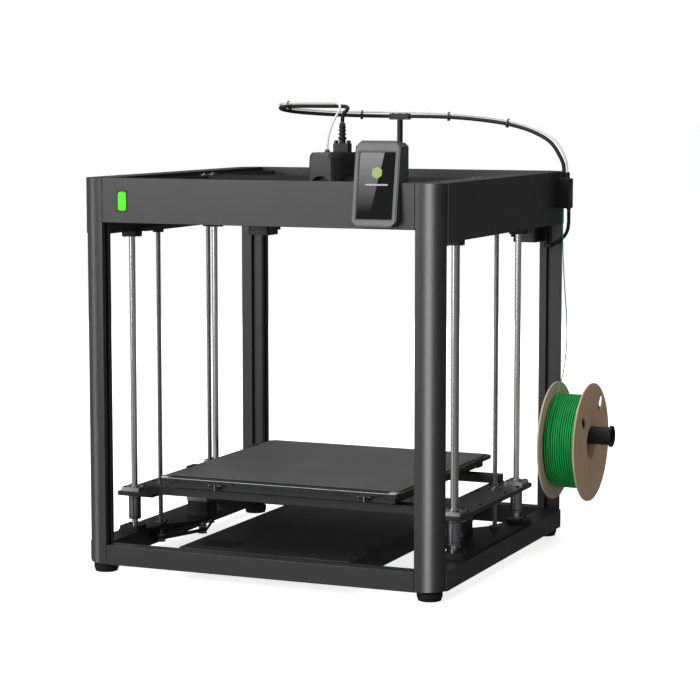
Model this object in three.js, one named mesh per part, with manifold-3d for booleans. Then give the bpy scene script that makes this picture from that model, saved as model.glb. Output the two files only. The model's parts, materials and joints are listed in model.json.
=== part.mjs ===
// Desktop FDM 3-D printer with an open cube frame. The bed rises and sinks on four guide rods and
// four lead screws, and the print head moves in X and Y on a gantry in the top of the frame.
// Millimetres, +X right, +Y back, +Z up. Parts are laid out from the middle of the frame, with
// heights counted from just above the floor, and the whole printer is then moved so that it stands
// on z = 0 with its own box centred on the origin.
import * as THREE from 'three';
import { mergeVertices } from 'three/addons/utils/BufferGeometryUtils.js';
import Module from 'manifold-3d';

const wasm = await Module();
wasm.setup();

// Driving dimensions
const GAP = 0.3; // air between touching pieces
const FRAME_BOTTOM = 13;
const FOOT_HEIGHT = 15.3;
const FOOT_R = 19.8;
const FRAME_HALF = 305; // the frame is a square, 610 on a side
const FRAME_TOP = 625;
const WALL = 2.5; // wall of the frame's box sections

const COLUMN_W = 43;
const COLUMN_D = 27;
const COLUMN_R = 40; // rounding of the outer corner, which runs out at the column's inner faces
const TOP_BEAM_H = 69;
const TOP_PANEL_H = 88;
const BOTTOM_BEAM_H = 31;
const SIDE_BEAM_W = 35;

const BED_CENTRE_Y = -30;
const BED_W = 416;
const BED_Y = [-229, 195];
const BUILD_W = 400; // printable width and depth
const BUILD_Y = [-209, 191];
const BED_TRAVEL = 400;
const ROD_R = 5;
const ROD_X = 278;
const ROD_DY = 149; // rods and screws lie this far before and behind the bed's centre
const SCREW_R = 4;
const SCREW_X = 261;
const SCREW_DY = 91;
const RUN = 0.4; // running clearance round rods and screws

const DECK_Z = 48; // top of the plates that carry the Z drives
const PULLEY_R = 8;
const Z_MOTOR_X = 230;
const Z_MOTOR_SIZE = 41;
const Z_MOTOR_H = 34;

const PLATE_Z = 105; // underside of the bed carriage's side plates
const PLATE_THICK = 7;
const CARRIAGE_TOP = 124;
const BED_TOP = 147;
const BUILD_PLATE_THICK = 1.2;
const HEATER_THICK = 6;
const HEATER_TOP = BED_TOP - BUILD_PLATE_THICK - GAP;
const NOZZLE_Z = BED_TOP + BED_TRAVEL + 4;

const BEAM_Y0 = 8; // gantry beam
const BEAM_Y1 = 36;
const BEAM_Z0 = 576;
const BEAM_Z1 = 606;
const RAIL_Z = 592;
const HEAD_X = -4; // where the head is parked
const HEAD_W = 46;
const HEAD_FRONT = -46;
const HEAD_TOP = 661;
const NOZZLE_Y = -22;
const FAN_Z = 600;
const FAN_R = 19;

const XY_MOTOR_X = 249;
const XY_MOTOR_Y = 256;

const SPOOL_X = 317; // inner face of the spool
const SPOOL_W = 64;
const SPOOL_R = 99;
const SPOOL_BORE_R = 27;
const SPOOL_Y = 205;
const SPOOL_Z = 176;
const HOLDER_R = 15;
const HOLDER_Z = SPOOL_Z + SPOOL_BORE_R - HOLDER_R - GAP; // the spool hangs on its holder

const BASE_HALF_W = 147;
const BASE_TOP = 45;

// Finishes
const DARK_FRAME = [0x3c3c3e, 0.42, 0.6];
const BLACK_STEEL = [0x1c1c1d, 0.5, 0.5];
const BLACK_PLASTIC = [0x161617, 0.55, 0];
const GREY_PLASTIC = [0x4a4b4d, 0.5, 0];
const STEEL = [0xc9cacc, 0.18, 1];
const SILVER = [0xa9abae, 0.35, 0.9];
const RUBBER = [0x101010, 0.85, 0];

function finish([color, roughness, metalness]) {
  return new THREE.MeshStandardMaterial({ color, roughness, metalness });
}

// --- geometry helpers -------------------------------------------------------------------------

function toSolid(geometry) {
  const bare = geometry.clone();
  bare.deleteAttribute('normal');
  bare.deleteAttribute('uv');
  const merged = mergeVertices(bare, 1e-4);
  return new wasm.Manifold(new wasm.Mesh({
    numProp: 3,
    vertProperties: merged.getAttribute('position').array,
    triVerts: new Uint32Array(merged.index.array),
  }));
}

function toGeometry(solid) {
  const mesh = solid.getMesh();
  const geometry = new THREE.BufferGeometry();
  geometry.setAttribute('position', new THREE.BufferAttribute(mesh.vertProperties, 3));
  geometry.setIndex(new THREE.BufferAttribute(mesh.triVerts, 1));
  geometry.computeVertexNormals();
  return geometry;
}

function join(...geometries) {
  return toGeometry(geometries.map(toSolid).reduce((sum, next) => sum.add(next)));
}

function cut(base, ...tools) {
  return toGeometry(tools.map(toSolid).reduce((rest, tool) => rest.subtract(tool), toSolid(base)));
}

function block([x0, x1], [y0, y1], [z0, z1]) {
  const box = new THREE.BoxGeometry(x1 - x0, y1 - y0, z1 - z0);
  return box.translate((x0 + x1) / 2, (y0 + y1) / 2, (z0 + z1) / 2);
}

function cylinderZ(r, x, y, [z0, z1], sides = 24) {
  const body = new THREE.CylinderGeometry(r, r, z1 - z0, sides).rotateX(Math.PI / 2);
  return body.translate(x, y, (z0 + z1) / 2);
}

function cylinderX(r, [x0, x1], y, z, sides = 32) {
  const body = new THREE.CylinderGeometry(r, r, x1 - x0, sides).rotateZ(Math.PI / 2);
  return body.translate((x0 + x1) / 2, y, z);
}

function cylinderY(r, x, [y0, y1], z, sides = 32) {
  const body = new THREE.CylinderGeometry(r, r, y1 - y0, sides);
  return body.translate(x, (y0 + y1) / 2, z);
}

// A profile of [radius, height] points turned about the Z axis.
function turned(profile, sides = 24) {
  const points = profile.map(([r, z]) => new THREE.Vector2(r, z));
  return new THREE.LatheGeometry(points, sides).rotateX(Math.PI / 2);
}

function polygon(points) {
  return new THREE.Shape(points.map(([x, y]) => new THREE.Vector2(x, y)));
}

function rectangle(w, h, Kind = THREE.Shape) {
  const shape = new Kind();
  shape.moveTo(-w / 2, -h / 2);
  shape.lineTo(w / 2, -h / 2);
  shape.lineTo(w / 2, h / 2);
  shape.lineTo(-w / 2, h / 2);
  shape.closePath();
  return shape;
}

function roundedRectangle(w, h, r) {
  const shape = new THREE.Shape();
  const x = w / 2 - r;
  const y = h / 2 - r;
  shape.absarc(x, y, r, 0, Math.PI / 2);
  shape.absarc(-x, y, r, Math.PI / 2, Math.PI);
  shape.absarc(-x, -y, r, Math.PI, Math.PI * 1.5);
  shape.absarc(x, -y, r, Math.PI * 1.5, Math.PI * 2);
  shape.closePath();
  return shape;
}

function extrude(shape, depth, curveSegments = 4) {
  return new THREE.ExtrudeGeometry(shape, { depth, bevelEnabled: false, curveSegments });
}

// Stands a shape drawn in (y, z) across X, from x0 to x1.
function extrudeX(shape, [x0, x1], curveSegments) {
  const axes = new THREE.Matrix4().makeBasis(
    new THREE.Vector3(0, 1, 0),
    new THREE.Vector3(0, 0, 1),
    new THREE.Vector3(1, 0, 0),
  );
  return extrude(shape, x1 - x0, curveSegments).applyMatrix4(axes).translate(x0, 0, 0);
}

// Stands a shape drawn in (x, z) along Y, from y0 to y1.
function extrudeY(shape, [y0, y1], curveSegments) {
  return extrude(shape, y1 - y0, curveSegments).rotateX(Math.PI / 2).translate(0, y1, 0);
}

// A box section with one or more chambers, seen along its length.
function boxSection(w, h, chambers) {
  const outline = rectangle(w, h);
  const inner = (h - WALL) / chambers - WALL;
  for (let i = 0; i < chambers; i += 1) {
    const hole = rectangle(w - 2 * WALL, inner, THREE.Path);
    const lift = -h / 2 + WALL + inner / 2 + i * (inner + WALL);
    hole.curves.forEach((edge) => {
      edge.v1.y += lift;
      edge.v2.y += lift;
    });
    outline.holes.push(hole);
  }
  return outline;
}

// A cord: a regular section swept along a smooth curve through its points.
function cord(points, diameter, steps, sides = 8) {
  const knots = points.map((p) => new THREE.Vector3(...p));
  const curve = new THREE.CatmullRomCurve3(knots, false, 'centripetal');
  const section = new THREE.Shape();
  for (let i = 0; i < sides; i += 1) {
    const angle = (i * 2 * Math.PI) / sides;
    const corner = [Math.cos(angle) * diameter / 2, Math.sin(angle) * diameter / 2];
    if (i === 0) section.moveTo(...corner);
    else section.lineTo(...corner);
  }
  section.closePath();
  return new THREE.ExtrudeGeometry(section, { steps, extrudePath: curve, bevelEnabled: false });
}

// --- the printer ------------------------------------------------------------------------------

const printer = new THREE.Group();
const CORNERS = [
  ['front_left', -1, -1],
  ['front_right', 1, -1],
  ['rear_left', -1, 1],
  ['rear_right', 1, 1],
];
const SIDES = [['left', -1], ['right', 1]];

function add(name, geometry, look, group = printer) {
  const mesh = new THREE.Mesh(geometry, finish(look));
  mesh.name = name;
  group.add(mesh);
  return mesh;
}

// Sorts a range that a mirrored side has turned round.
function span(a, b) {
  return a < b ? [a, b] : [b, a];
}

// A T-shaped slot cut into a face at x = 0 that looks towards +X.
function slotOutline() {
  const mouth = 4;
  const wide = 6.5;
  const lip = 2;
  const deep = 7;
  return [[0, -mouth], [-lip, -mouth], [-lip, -wide], [-deep, -wide],
    [-deep, wide], [-lip, wide], [-lip, mouth], [0, mouth]];
}

// Corner column, drawn for the front left one: outer corner towards (-x, -y), slots on the
// two inner faces. sx and sy mirror it to the other corners.
function columnShape(sx, sy) {
  const hw = COLUMN_W / 2;
  const hd = COLUMN_D / 2;
  const arcSteps = 8;
  const slotShift = 4.5; // the slot on the wide inner face sits nearer the inner corner
  const points = [];
  const first = Math.asin((COLUMN_R - COLUMN_D) / COLUMN_R);
  for (let i = 0; i <= arcSteps; i += 1) {
    const angle = Math.PI + first + ((Math.PI / 2 - first) * i) / arcSteps;
    points.push([-hw + COLUMN_R * (1 + Math.cos(angle)), -hd + COLUMN_R * (1 + Math.sin(angle))]);
  }
  points.push([hw, -hd]);
  slotOutline().forEach(([depth, across]) => points.push([hw + depth, across]));
  points.push([hw, hd]);
  slotOutline().forEach(([depth, across]) => points.push([slotShift - across, hd + depth]));
  return polygon(points.map(([x, y]) => [-sx * x, -sy * y]));
}

function columns() {
  for (const [corner, sx, sy] of CORNERS) {
    const solid = extrude(columnShape(sx, sy), FRAME_TOP - FRAME_BOTTOM);
    const column = add(`column_${corner}`, solid, DARK_FRAME);
    column.position.set(sx * (FRAME_HALF - COLUMN_W / 2), sy * (FRAME_HALF - COLUMN_D / 2), FRAME_BOTTOM);
  }
}

function feet() {
  const inset = 28;
  const profile = [
    [0, 0], [FOOT_R - 2, 0], [FOOT_R - 1, 5], [FOOT_R, 6], [FOOT_R, FOOT_HEIGHT], [0, FOOT_HEIGHT],
  ];
  for (const [corner, sx, sy] of CORNERS) {
    const foot = add(`foot_${corner}`, turned(profile), RUBBER);
    foot.position.set(
      sx * (FRAME_HALF - inset),
      sy * (FRAME_HALF - inset),
      FRAME_BOTTOM - GAP - FOOT_HEIGHT,
    );
  }
}

const BEAM_END = FRAME_HALF - COLUMN_W - GAP; // front and rear beams end at the columns
const SIDE_END = FRAME_HALF - COLUMN_D - GAP;
const BEAM_MID_Y = FRAME_HALF - COLUMN_D / 2;

function topBeams() {
  const light = { x0: -233.5, x1: -219.5, z0: 575, z1: 604.5, depth: 1.8, proud: 0.8 };
  const section = boxSection(COLUMN_D, TOP_BEAM_H, 2);
  const beam = () => extrudeX(section, [-BEAM_END, BEAM_END]).translate(0, 0, FRAME_TOP - TOP_BEAM_H / 2);
  const pocket = block(
    [light.x0 - GAP, light.x1 + GAP],
    [-FRAME_HALF - 1, -FRAME_HALF + light.depth],
    [light.z0 - GAP, light.z1 + GAP],
  );
  add('top_beam_front', cut(beam().translate(0, -BEAM_MID_Y, 0), pocket), DARK_FRAME);
  add('top_beam_rear', beam().translate(0, BEAM_MID_Y, 0), DARK_FRAME);
  const lens = block(
    [light.x0, light.x1],
    [-FRAME_HALF - light.proud, -FRAME_HALF + light.depth - GAP],
    [light.z0, light.z1],
  );
  add('status_light', lens, [0x5fff3c, 0.3, 0]);
}

// Side panels: a deep box section with a shelf that holds the upper ends of rods and screws.
function topPanels() {
  const shelf = 4;
  const shelfInner = 240;
  const bottom = FRAME_TOP - TOP_PANEL_H;
  const clamp = 10;
  const dip = 6;
  const motorPlate = 22;
  for (const [side, s] of SIDES) {
    const mid = s * (FRAME_HALF - COLUMN_W / 2);
    const panel = extrudeY(boxSection(COLUMN_W, TOP_PANEL_H, 2), [-SIDE_END, SIDE_END])
      .translate(mid, 0, FRAME_TOP - TOP_PANEL_H / 2);
    const pieces = [
      block(
        span(s * shelfInner, s * (FRAME_HALF - 2)),
        [BED_CENTRE_Y - 170, BED_CENTRE_Y + 170],
        [bottom, bottom + shelf],
      ),
      block(
        span(s * (XY_MOTOR_X - motorPlate), s * (FRAME_HALF - COLUMN_W + 1)),
        [XY_MOTOR_Y - motorPlate, SIDE_END],
        [bottom, bottom + shelf],
      ),
    ];
    const holes = [cylinderZ(6, s * XY_MOTOR_X, XY_MOTOR_Y, [bottom - 1, bottom + shelf + 1], 16)];
    for (const dir of [-1, 1]) {
      const rodY = BED_CENTRE_Y + dir * ROD_DY;
      const screwY = BED_CENTRE_Y + dir * SCREW_DY;
      const acrossRod = span(s * (ROD_X - 12), s * (ROD_X + 12));
      pieces.push(block(acrossRod, [rodY - 12, rodY + 12], [bottom - clamp, bottom + 1]));
      pieces.push(cylinderZ(9, s * SCREW_X, screwY, [bottom - dip, bottom + 1]));
      holes.push(cylinderZ(ROD_R + RUN, s * ROD_X, rodY, [bottom - clamp - 1, bottom]));
      holes.push(cylinderZ(SCREW_R + RUN, s * SCREW_X, screwY, [bottom - dip - 1, bottom]));
    }
    add(`top_panel_${side}`, cut(join(panel, ...pieces), ...holes), DARK_FRAME);
    const railX = span(s * 252.2, s * (FRAME_HALF - COLUMN_W - GAP));
    const rail = block(railX, [-262, 268], [RAIL_Z - 6, RAIL_Z + 6]);
    add(`y_rail_${side}`, rail, STEEL);
  }
}

const INLET = { x0: 60, x1: 126, z0: 16, z1: 41, depth: 20 };

function bottomBeams() {
  const section = boxSection(COLUMN_D, BOTTOM_BEAM_H, 1);
  const mid = FRAME_BOTTOM + BOTTOM_BEAM_H / 2;
  const beam = (y) => extrudeX(section, [-BEAM_END, BEAM_END]).translate(0, y, mid);
  add('bottom_beam_front', beam(-BEAM_MID_Y), DARK_FRAME);

  // The rear one carries the mains inlet: a framed block with a socket and a place for the switch.
  const outer = FRAME_HALF + 2;
  const plug = block([INLET.x0, INLET.x1], [FRAME_HALF - 24, outer], [INLET.z0, INLET.z1]);
  const inside = [INLET.z0 + 3, INLET.z1 - 3];
  const socket = block([INLET.x0 + 28, INLET.x1 - 4], [outer - INLET.depth, outer + 1], inside);
  const switchWell = block([INLET.x0 + 4, INLET.x0 + 22], [outer - 12, outer + 1], inside);
  add('bottom_beam_rear', cut(join(beam(BEAM_MID_Y), plug), socket, switchWell), DARK_FRAME);
}

// The rocker of the mains switch rests pressed in at one end. Its axis lies along X.
function powerSwitch() {
  const tilt = 0.16;
  const half = 8.2;
  const rocker = polygon([[-3, -half], [1.5, -half], [0.2, 0], [1.5, half], [-3, half]]);
  const mesh = add('power_switch', extrudeX(rocker, [-half, half]), BLACK_PLASTIC);
  mesh.rotation.x = tilt;
  mesh.position.set(INLET.x0 + 13, FRAME_HALF - 1.5, (INLET.z0 + INLET.z1) / 2);
}

// Side rails of the base: a box beam, and on it the plate that carries one side's Z drive.
function baseRails() {
  const bearingDrop = 8;
  const bossTop = DECK_Z + 6;
  const beamTop = FRAME_BOTTOM + BOTTOM_BEAM_H;
  for (const [side, s] of SIDES) {
    const beam = extrudeY(boxSection(SIDE_BEAM_W, BOTTOM_BEAM_H, 1), [-SIDE_END, SIDE_END])
      .translate(s * (FRAME_HALF - SIDE_BEAM_W / 2), 0, FRAME_BOTTOM + BOTTOM_BEAM_H / 2);
    const half = [[301, 163], [267, 163], [250, 99], [209, 45]];
    const outline = [...half, ...half.slice().reverse().map(([x, y]) => [x, -y])];
    const plate = extrude(polygon(outline.map(([x, y]) => [s * x, y])), DECK_Z - beamTop + 0.5)
      .translate(0, BED_CENTRE_Y, beamTop - 0.5);
    const pieces = [];
    const holes = [cylinderZ(7, s * Z_MOTOR_X, BED_CENTRE_Y, [beamTop - 2, DECK_Z + 1])];
    for (const dir of [-1, 1]) {
      const rodY = BED_CENTRE_Y + dir * ROD_DY;
      const screwY = BED_CENTRE_Y + dir * SCREW_DY;
      const acrossRod = span(s * (ROD_X - 12), s * (ROD_X + 20));
      pieces.push(block(acrossRod, [rodY - 16, rodY + 16], [DECK_Z - 1, bossTop]));
      pieces.push(cylinderZ(8.5, s * SCREW_X, screwY, [beamTop - bearingDrop, DECK_Z - 0.5]));
      holes.push(cylinderZ(ROD_R + RUN, s * ROD_X, rodY, [DECK_Z, bossTop + 1]));
      holes.push(cylinderZ(SCREW_R + RUN, s * SCREW_X, screwY, [beamTop - bearingDrop - 1, DECK_Z + 1]));
    }
    add(`base_rail_${side}`, cut(join(beam, plate, ...pieces), ...holes), DARK_FRAME);
  }
}

// The electronics sit in a flat tray between the rails, under a screwed cover.
function baseBox() {
  const wall = 1.5;
  const y0 = -SIDE_END + 1;
  const y1 = SIDE_END - 1;
  const rim = BASE_TOP - 2;
  const shell = block([-BASE_HALF_W, BASE_HALF_W], [y0, y1], [FRAME_BOTTOM, rim - GAP]);
  const hollow = block(
    [-BASE_HALF_W + wall, BASE_HALF_W - wall],
    [y0 + wall, y1 - wall],
    [FRAME_BOTTOM + wall, rim + 1],
  );
  add('base_tray', cut(shell, hollow), BLACK_STEEL);
  const cover = extrude(roundedRectangle(2 * BASE_HALF_W + 2, y1 - y0, 4), BASE_TOP - rim, 3);
  add('base_cover', cover.translate(0, (y0 + y1) / 2, rim), BLACK_STEEL);

  const floor = FRAME_BOTTOM + wall + GAP;
  add('power_supply', block([-128, -30], [60, 259], [floor, rim - 2]), SILVER);
  const board = block([10, 120], [80, 230], [floor + 4, floor + 6]);
  const posts = [-1, 1].flatMap((i) => [-1, 1].map((j) => (
    cylinderZ(3, 65 + i * 48, 155 + j * 68, [floor, floor + 5], 12))));
  const sinks = [95, 125, 155, 185].map((y) => block([30, 46], [y, y + 16], [floor + 5, floor + 17]));
  const terminals = block([70, 112], [90, 102], [floor + 5, floor + 16]);
  add('mainboard', join(board, ...posts, ...sinks, terminals), [0x1d3b2a, 0.5, 0.1]);
}

function zDrives() {
  const rodTop = FRAME_TOP - TOP_PANEL_H - GAP;
  const lip = 1.5;
  const groove = PULLEY_R - 1.5;
  const pulleyFoot = 17;
  const pulleyHead = 31;
  const screwProfile = [[0, pulleyFoot], [PULLEY_R, pulleyFoot], [PULLEY_R, pulleyFoot + lip],
    [groove, pulleyFoot + lip], [groove, pulleyHead - lip], [PULLEY_R, pulleyHead - lip],
    [PULLEY_R, pulleyHead], [SCREW_R, pulleyHead], [SCREW_R, rodTop], [0, rodTop]];
  const motorPulley = [...screwProfile.slice(0, 7), [5.5, pulleyHead], [5.5, 40], [2.5, 40],
    [2.5, DECK_Z], [0, DECK_Z]];
  for (const [corner, sx, sy] of CORNERS) {
    const rod = cylinderZ(ROD_R, 0, 0, [DECK_Z + GAP, rodTop]);
    add(`guide_rod_${corner}`, rod, STEEL).position.set(sx * ROD_X, BED_CENTRE_Y + sy * ROD_DY, 0);
    const screw = add(`lead_screw_${corner}`, turned(screwProfile, 16), SILVER);
    screw.position.set(sx * SCREW_X, BED_CENTRE_Y + sy * SCREW_DY, 0);
  }
  for (const [side, s] of SIDES) {
    const motor = extrude(roundedRectangle(Z_MOTOR_SIZE, Z_MOTOR_SIZE, 4), Z_MOTOR_H, 2);
    add(`z_motor_${side}`, motor, BLACK_STEEL).position.set(s * Z_MOTOR_X, BED_CENTRE_Y, DECK_Z + GAP);
    const pulley = add(`z_motor_pulley_${side}`, turned(motorPulley, 20), SILVER);
    pulley.position.set(s * Z_MOTOR_X, BED_CENTRE_Y, 0);
  }
}

// The bed carriage: two side plates on flanged bearings and nuts, tied by two cross beams, with
// four posts that hold the heated bed.
function bedCarriage() {
  const plateTop = PLATE_Z + PLATE_THICK;
  const flangeTop = plateTop + 6;
  const beamBottom = plateTop - 1;
  const beamX = 248;
  const frontY = [-170, -143];
  const rearY = [143, 170];
  const pieces = [
    block([-beamX, beamX], frontY, [beamBottom, CARRIAGE_TOP]),
    block([-beamX, beamX], rearY, [beamBottom, CARRIAGE_TOP]),
  ];
  const holes = [];
  for (const s of [-1, 1]) {
    pieces.push(block(span(s * 234, s * 298), [-170, 170], [PLATE_Z, plateTop]));
    for (const dir of [-1, 1]) {
      const rodY = dir * ROD_DY;
      const screwY = dir * SCREW_DY;
      pieces.push(cylinderZ(10, s * ROD_X, rodY, [PLATE_Z - 40, PLATE_Z + 1]));
      const acrossRod = span(s * (ROD_X - 16), s * (ROD_X + 16));
      const postTop = HEATER_TOP - HEATER_THICK - GAP;
      pieces.push(block(acrossRod, [rodY - 16, rodY + 16], [plateTop - 1, flangeTop]));
      pieces.push(cylinderZ(11, s * SCREW_X, screwY, [PLATE_Z - 8, plateTop + 3], 20));
      pieces.push(cylinderZ(6, s * 185, dir * 156, [CARRIAGE_TOP - 1, postTop], 12));
      holes.push(cylinderZ(ROD_R + RUN, s * ROD_X, rodY, [PLATE_Z - 41, flangeTop + 1]));
      holes.push(cylinderZ(SCREW_R + RUN, s * SCREW_X, screwY, [PLATE_Z - 9, plateTop + 4]));
    }
  }
  return cut(join(...pieces), ...holes);
}

function bed() {
  const group = new THREE.Group();
  group.position.set(0, BED_CENTRE_Y, 0);
  printer.add(group);
  add('bed_carriage', bedCarriage(), BLACK_STEEL, group);
  const trayInset = 12;
  const trayWall = 2;
  const depth = BED_Y[1] - BED_Y[0];
  const heaterFoot = HEATER_TOP - HEATER_THICK;
  const ring = (inset, heights) => block(
    [-BED_W / 2 + inset, BED_W / 2 - inset],
    [-depth / 2 + inset, depth / 2 - inset],
    heights,
  );
  const heater = join(
    extrude(roundedRectangle(BED_W, depth, 6), HEATER_THICK, 3).translate(0, 0, heaterFoot),
    cut(
      ring(trayInset, [CARRIAGE_TOP + 4, heaterFoot + 1]),
      ring(trayInset + trayWall, [CARRIAGE_TOP, heaterFoot + 2]),
    ),
  );
  const middle = (range) => (range[0] + range[1]) / 2 - BED_CENTRE_Y;
  add('heated_bed', heater.translate(0, middle(BED_Y), 0), SILVER, group);
  const flex = extrude(roundedRectangle(BUILD_W, BUILD_Y[1] - BUILD_Y[0], 5), BUILD_PLATE_THICK, 3);
  flex.translate(0, middle(BUILD_Y), BED_TOP - BUILD_PLATE_THICK);
  add('build_plate', flex, [0x2a2a2b, 0.85, 0.2], group);
}

function gantry() {
  const endInner = 226;
  const endOuter = 258;
  const midY = (BEAM_Y0 + BEAM_Y1) / 2;
  const ends = [-1, 1].map((s) => cut(
    block(span(s * endInner, s * endOuter), [midY - 26, midY + 26], [BEAM_Z0 - 4, BEAM_Z1 + 6]),
    block(span(s * 251.4, s * 262), [midY - 30, midY + 30], [RAIL_Z - 6.8, RAIL_Z + 6.8]),
  ));
  const beam = block([-endInner - 1, endInner + 1], [BEAM_Y0, BEAM_Y1], [BEAM_Z0, BEAM_Z1]);
  add('gantry_beam', join(beam, ...ends), BLACK_STEEL);
}

function head() {
  const group = new THREE.Group();
  group.position.x = HEAD_X;
  printer.add(group);
  const coverBack = -14;
  const bottom = 574;
  const slack = 0.8;
  const body = cut(
    block([-21.5, 21.5], [coverBack, 54], [566, HEAD_TOP - 1]),
    block([-23, 23], [BEAM_Y0 - slack, BEAM_Y1 + slack], [560, BEAM_Z1 + slack]),
  );
  add('head_carriage', body, BLACK_PLASTIC, group);

  const depth = coverBack - GAP - HEAD_FRONT;
  const shell = extrude(roundedRectangle(HEAD_W, depth, 4), HEAD_TOP - bottom, 3)
    .translate(0, HEAD_FRONT + depth / 2, bottom);
  const mouth = cylinderY(FAN_R, 0, [HEAD_FRONT - 1, HEAD_FRONT + 16], FAN_Z);
  add('head_cover', cut(shell, mouth), GREY_PLASTIC, group);

  const blade = () => block([-1, 1], [HEAD_FRONT + 4, HEAD_FRONT + 12], [6, FAN_R - 1.5]);
  const blades = Array.from({ length: 7 }, (_, i) => blade().rotateY((i * 2 * Math.PI) / 7));
  const rotor = join(cylinderY(7.5, 0, [HEAD_FRONT + 3, HEAD_FRONT + 13], 0, 20), ...blades);
  add('head_fan', rotor, BLACK_PLASTIC, group).position.set(0, 0, FAN_Z);

  const root = bottom - GAP;
  const tip = turned([[0, NOZZLE_Z], [0.8, NOZZLE_Z], [4, NOZZLE_Z + 4], [4, root], [0, root]], 16);
  const heater = block([-10, 10], [-9, 7.5], [NOZZLE_Z + 5, NOZZLE_Z + 17]);
  add('hotend', join(tip, heater).translate(0, NOZZLE_Y, 0), SILVER, group);
}

const PLUG_X = 0.5;
const PLUG_Y = 34;
const GLAND_TOP = 708;

// The plug on top of the head, with its latches and a ribbed bend relief for the cable.
function headConnector() {
  const foot = HEAD_TOP - 1 + GAP;
  const blockTop = foot + 14;
  const relief = [[0, blockTop - 1], [5.5, blockTop - 1], [5.5, blockTop + 6]];
  for (let i = 0; i < 4; i += 1) {
    const z = blockTop + 8 + i * 6;
    relief.push([7 - i * 0.4, z], [7 - i * 0.4, z + 2.5], [4.8, z + 3], [4.8, z + 5.5]);
  }
  relief.push([4.8, GLAND_TOP], [0, GLAND_TOP]);
  const pieces = [
    block([-13, 13], [-9, 9], [foot, blockTop]),
    block([-13, -9], [-5, 5], [blockTop - 1, blockTop + 5]),
    block([9, 13], [-5, 5], [blockTop - 1, blockTop + 5]),
    turned(relief, 16),
  ];
  add('head_connector', join(...pieces), BLACK_PLASTIC).position.set(PLUG_X, PLUG_Y, 0);
}

// The belt drives' motors hang under the rear corners, with their pulleys above the motor plates.
function xyDrives() {
  const size = 42;
  const tall = 31;
  const mount = FRAME_TOP - TOP_PANEL_H - GAP;
  const lip = 1.2;
  const foot = 9;
  const headZ = foot + 18;
  const profile = [[0, GAP], [2.5, GAP], [2.5, foot], [PULLEY_R, foot], [PULLEY_R, foot + lip],
    [6.5, foot + lip], [6.5, headZ], [PULLEY_R, headZ], [PULLEY_R, headZ + lip], [0, headZ + lip]];
  for (const [side, s] of SIDES) {
    const can = extrude(roundedRectangle(size, size, 4), tall, 2);
    add(`xy_motor_${side}`, can, BLACK_STEEL).position.set(s * XY_MOTOR_X, XY_MOTOR_Y, mount - tall);
    const pulley = add(`xy_motor_pulley_${side}`, turned(profile, 20), SILVER);
    pulley.position.set(s * XY_MOTOR_X, XY_MOTOR_Y, mount);
  }
}

// The touch display hooks over the top beam. Its face leans back, and the glass lies in the face.
function display() {
  const halfW = 36;
  const bottom = 560;
  const top = 687;
  const lean = THREE.MathUtils.degToRad(9.2);
  const faceY = -FRAME_HALF - 17.5;
  const back = -FRAME_HALF + COLUMN_D + GAP;
  const faceAt = (z) => faceY + (z - bottom) * Math.tan(lean);
  const middle = 203;
  const wedge = extrudeX(polygon([
    [faceAt(bottom), bottom], [faceAt(top), top], [back + 6, top - 4], [back + 6, FRAME_TOP + GAP],
    [-FRAME_HALF - GAP, FRAME_TOP + GAP], [-FRAME_HALF - GAP, bottom],
  ]), [-halfW, halfW]);
  const corner = 9;
  const outline = polygon([[-halfW + corner, bottom], [halfW - corner, bottom], [halfW, bottom + corner],
    [halfW, top - corner], [halfW - corner, top], [-halfW + corner, top], [-halfW, top - corner],
    [-halfW, bottom + corner]]);
  const front = extrudeY(outline, [-FRAME_HALF - 60, -FRAME_HALF + 60]);
  const body = toGeometry(toSolid(wedge).intersect(toSolid(front)));

  const glassHalf = 28;
  const low = 12;
  const high = 111;
  const thick = 1.6;
  const sunk = 0.4;
  const place = (geometry) => geometry.rotateX(-lean).translate(0, faceY, bottom);
  const recess = block(
    [-glassHalf - GAP, glassHalf + GAP],
    [-3, sunk + thick + GAP],
    [low - GAP, high + GAP],
  );
  const pane = block([-glassHalf, glassHalf], [sunk, sunk + thick], [low, high]);
  add('display_housing', cut(body, place(recess)), GREY_PLASTIC).position.x = middle;
  add('display_glass', place(pane), [0x0b0c0d, 0.08, 0]).position.x = middle;
}

const SENSOR = { x0: FRAME_HALF + GAP, x1: 325, y0: 241, y1: 265, z0: 564, z1: 614 };
const SENSOR_X = (SENSOR.x0 + SENSOR.x1) / 2;
const SENSOR_Y = (SENSOR.y0 + SENSOR.y1) / 2;

function sensor() {
  const box = block([SENSOR.x0, SENSOR.x1], [SENSOR.y0, SENSOR.y1], [SENSOR.z0, SENSOR.z1]);
  const fitting = cylinderZ(4.5, SENSOR_X + 3, SENSOR_Y, [SENSOR.z1 - 1, SENSOR.z1 + 9], 16);
  const grommet = cylinderZ(3.5, SENSOR_X + 4, SENSOR_Y + 7, [SENSOR.z0 - 4, SENSOR.z0 + 1], 16);
  add('runout_sensor', join(box, fitting, grommet), BLACK_PLASTIC);
}

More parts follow.
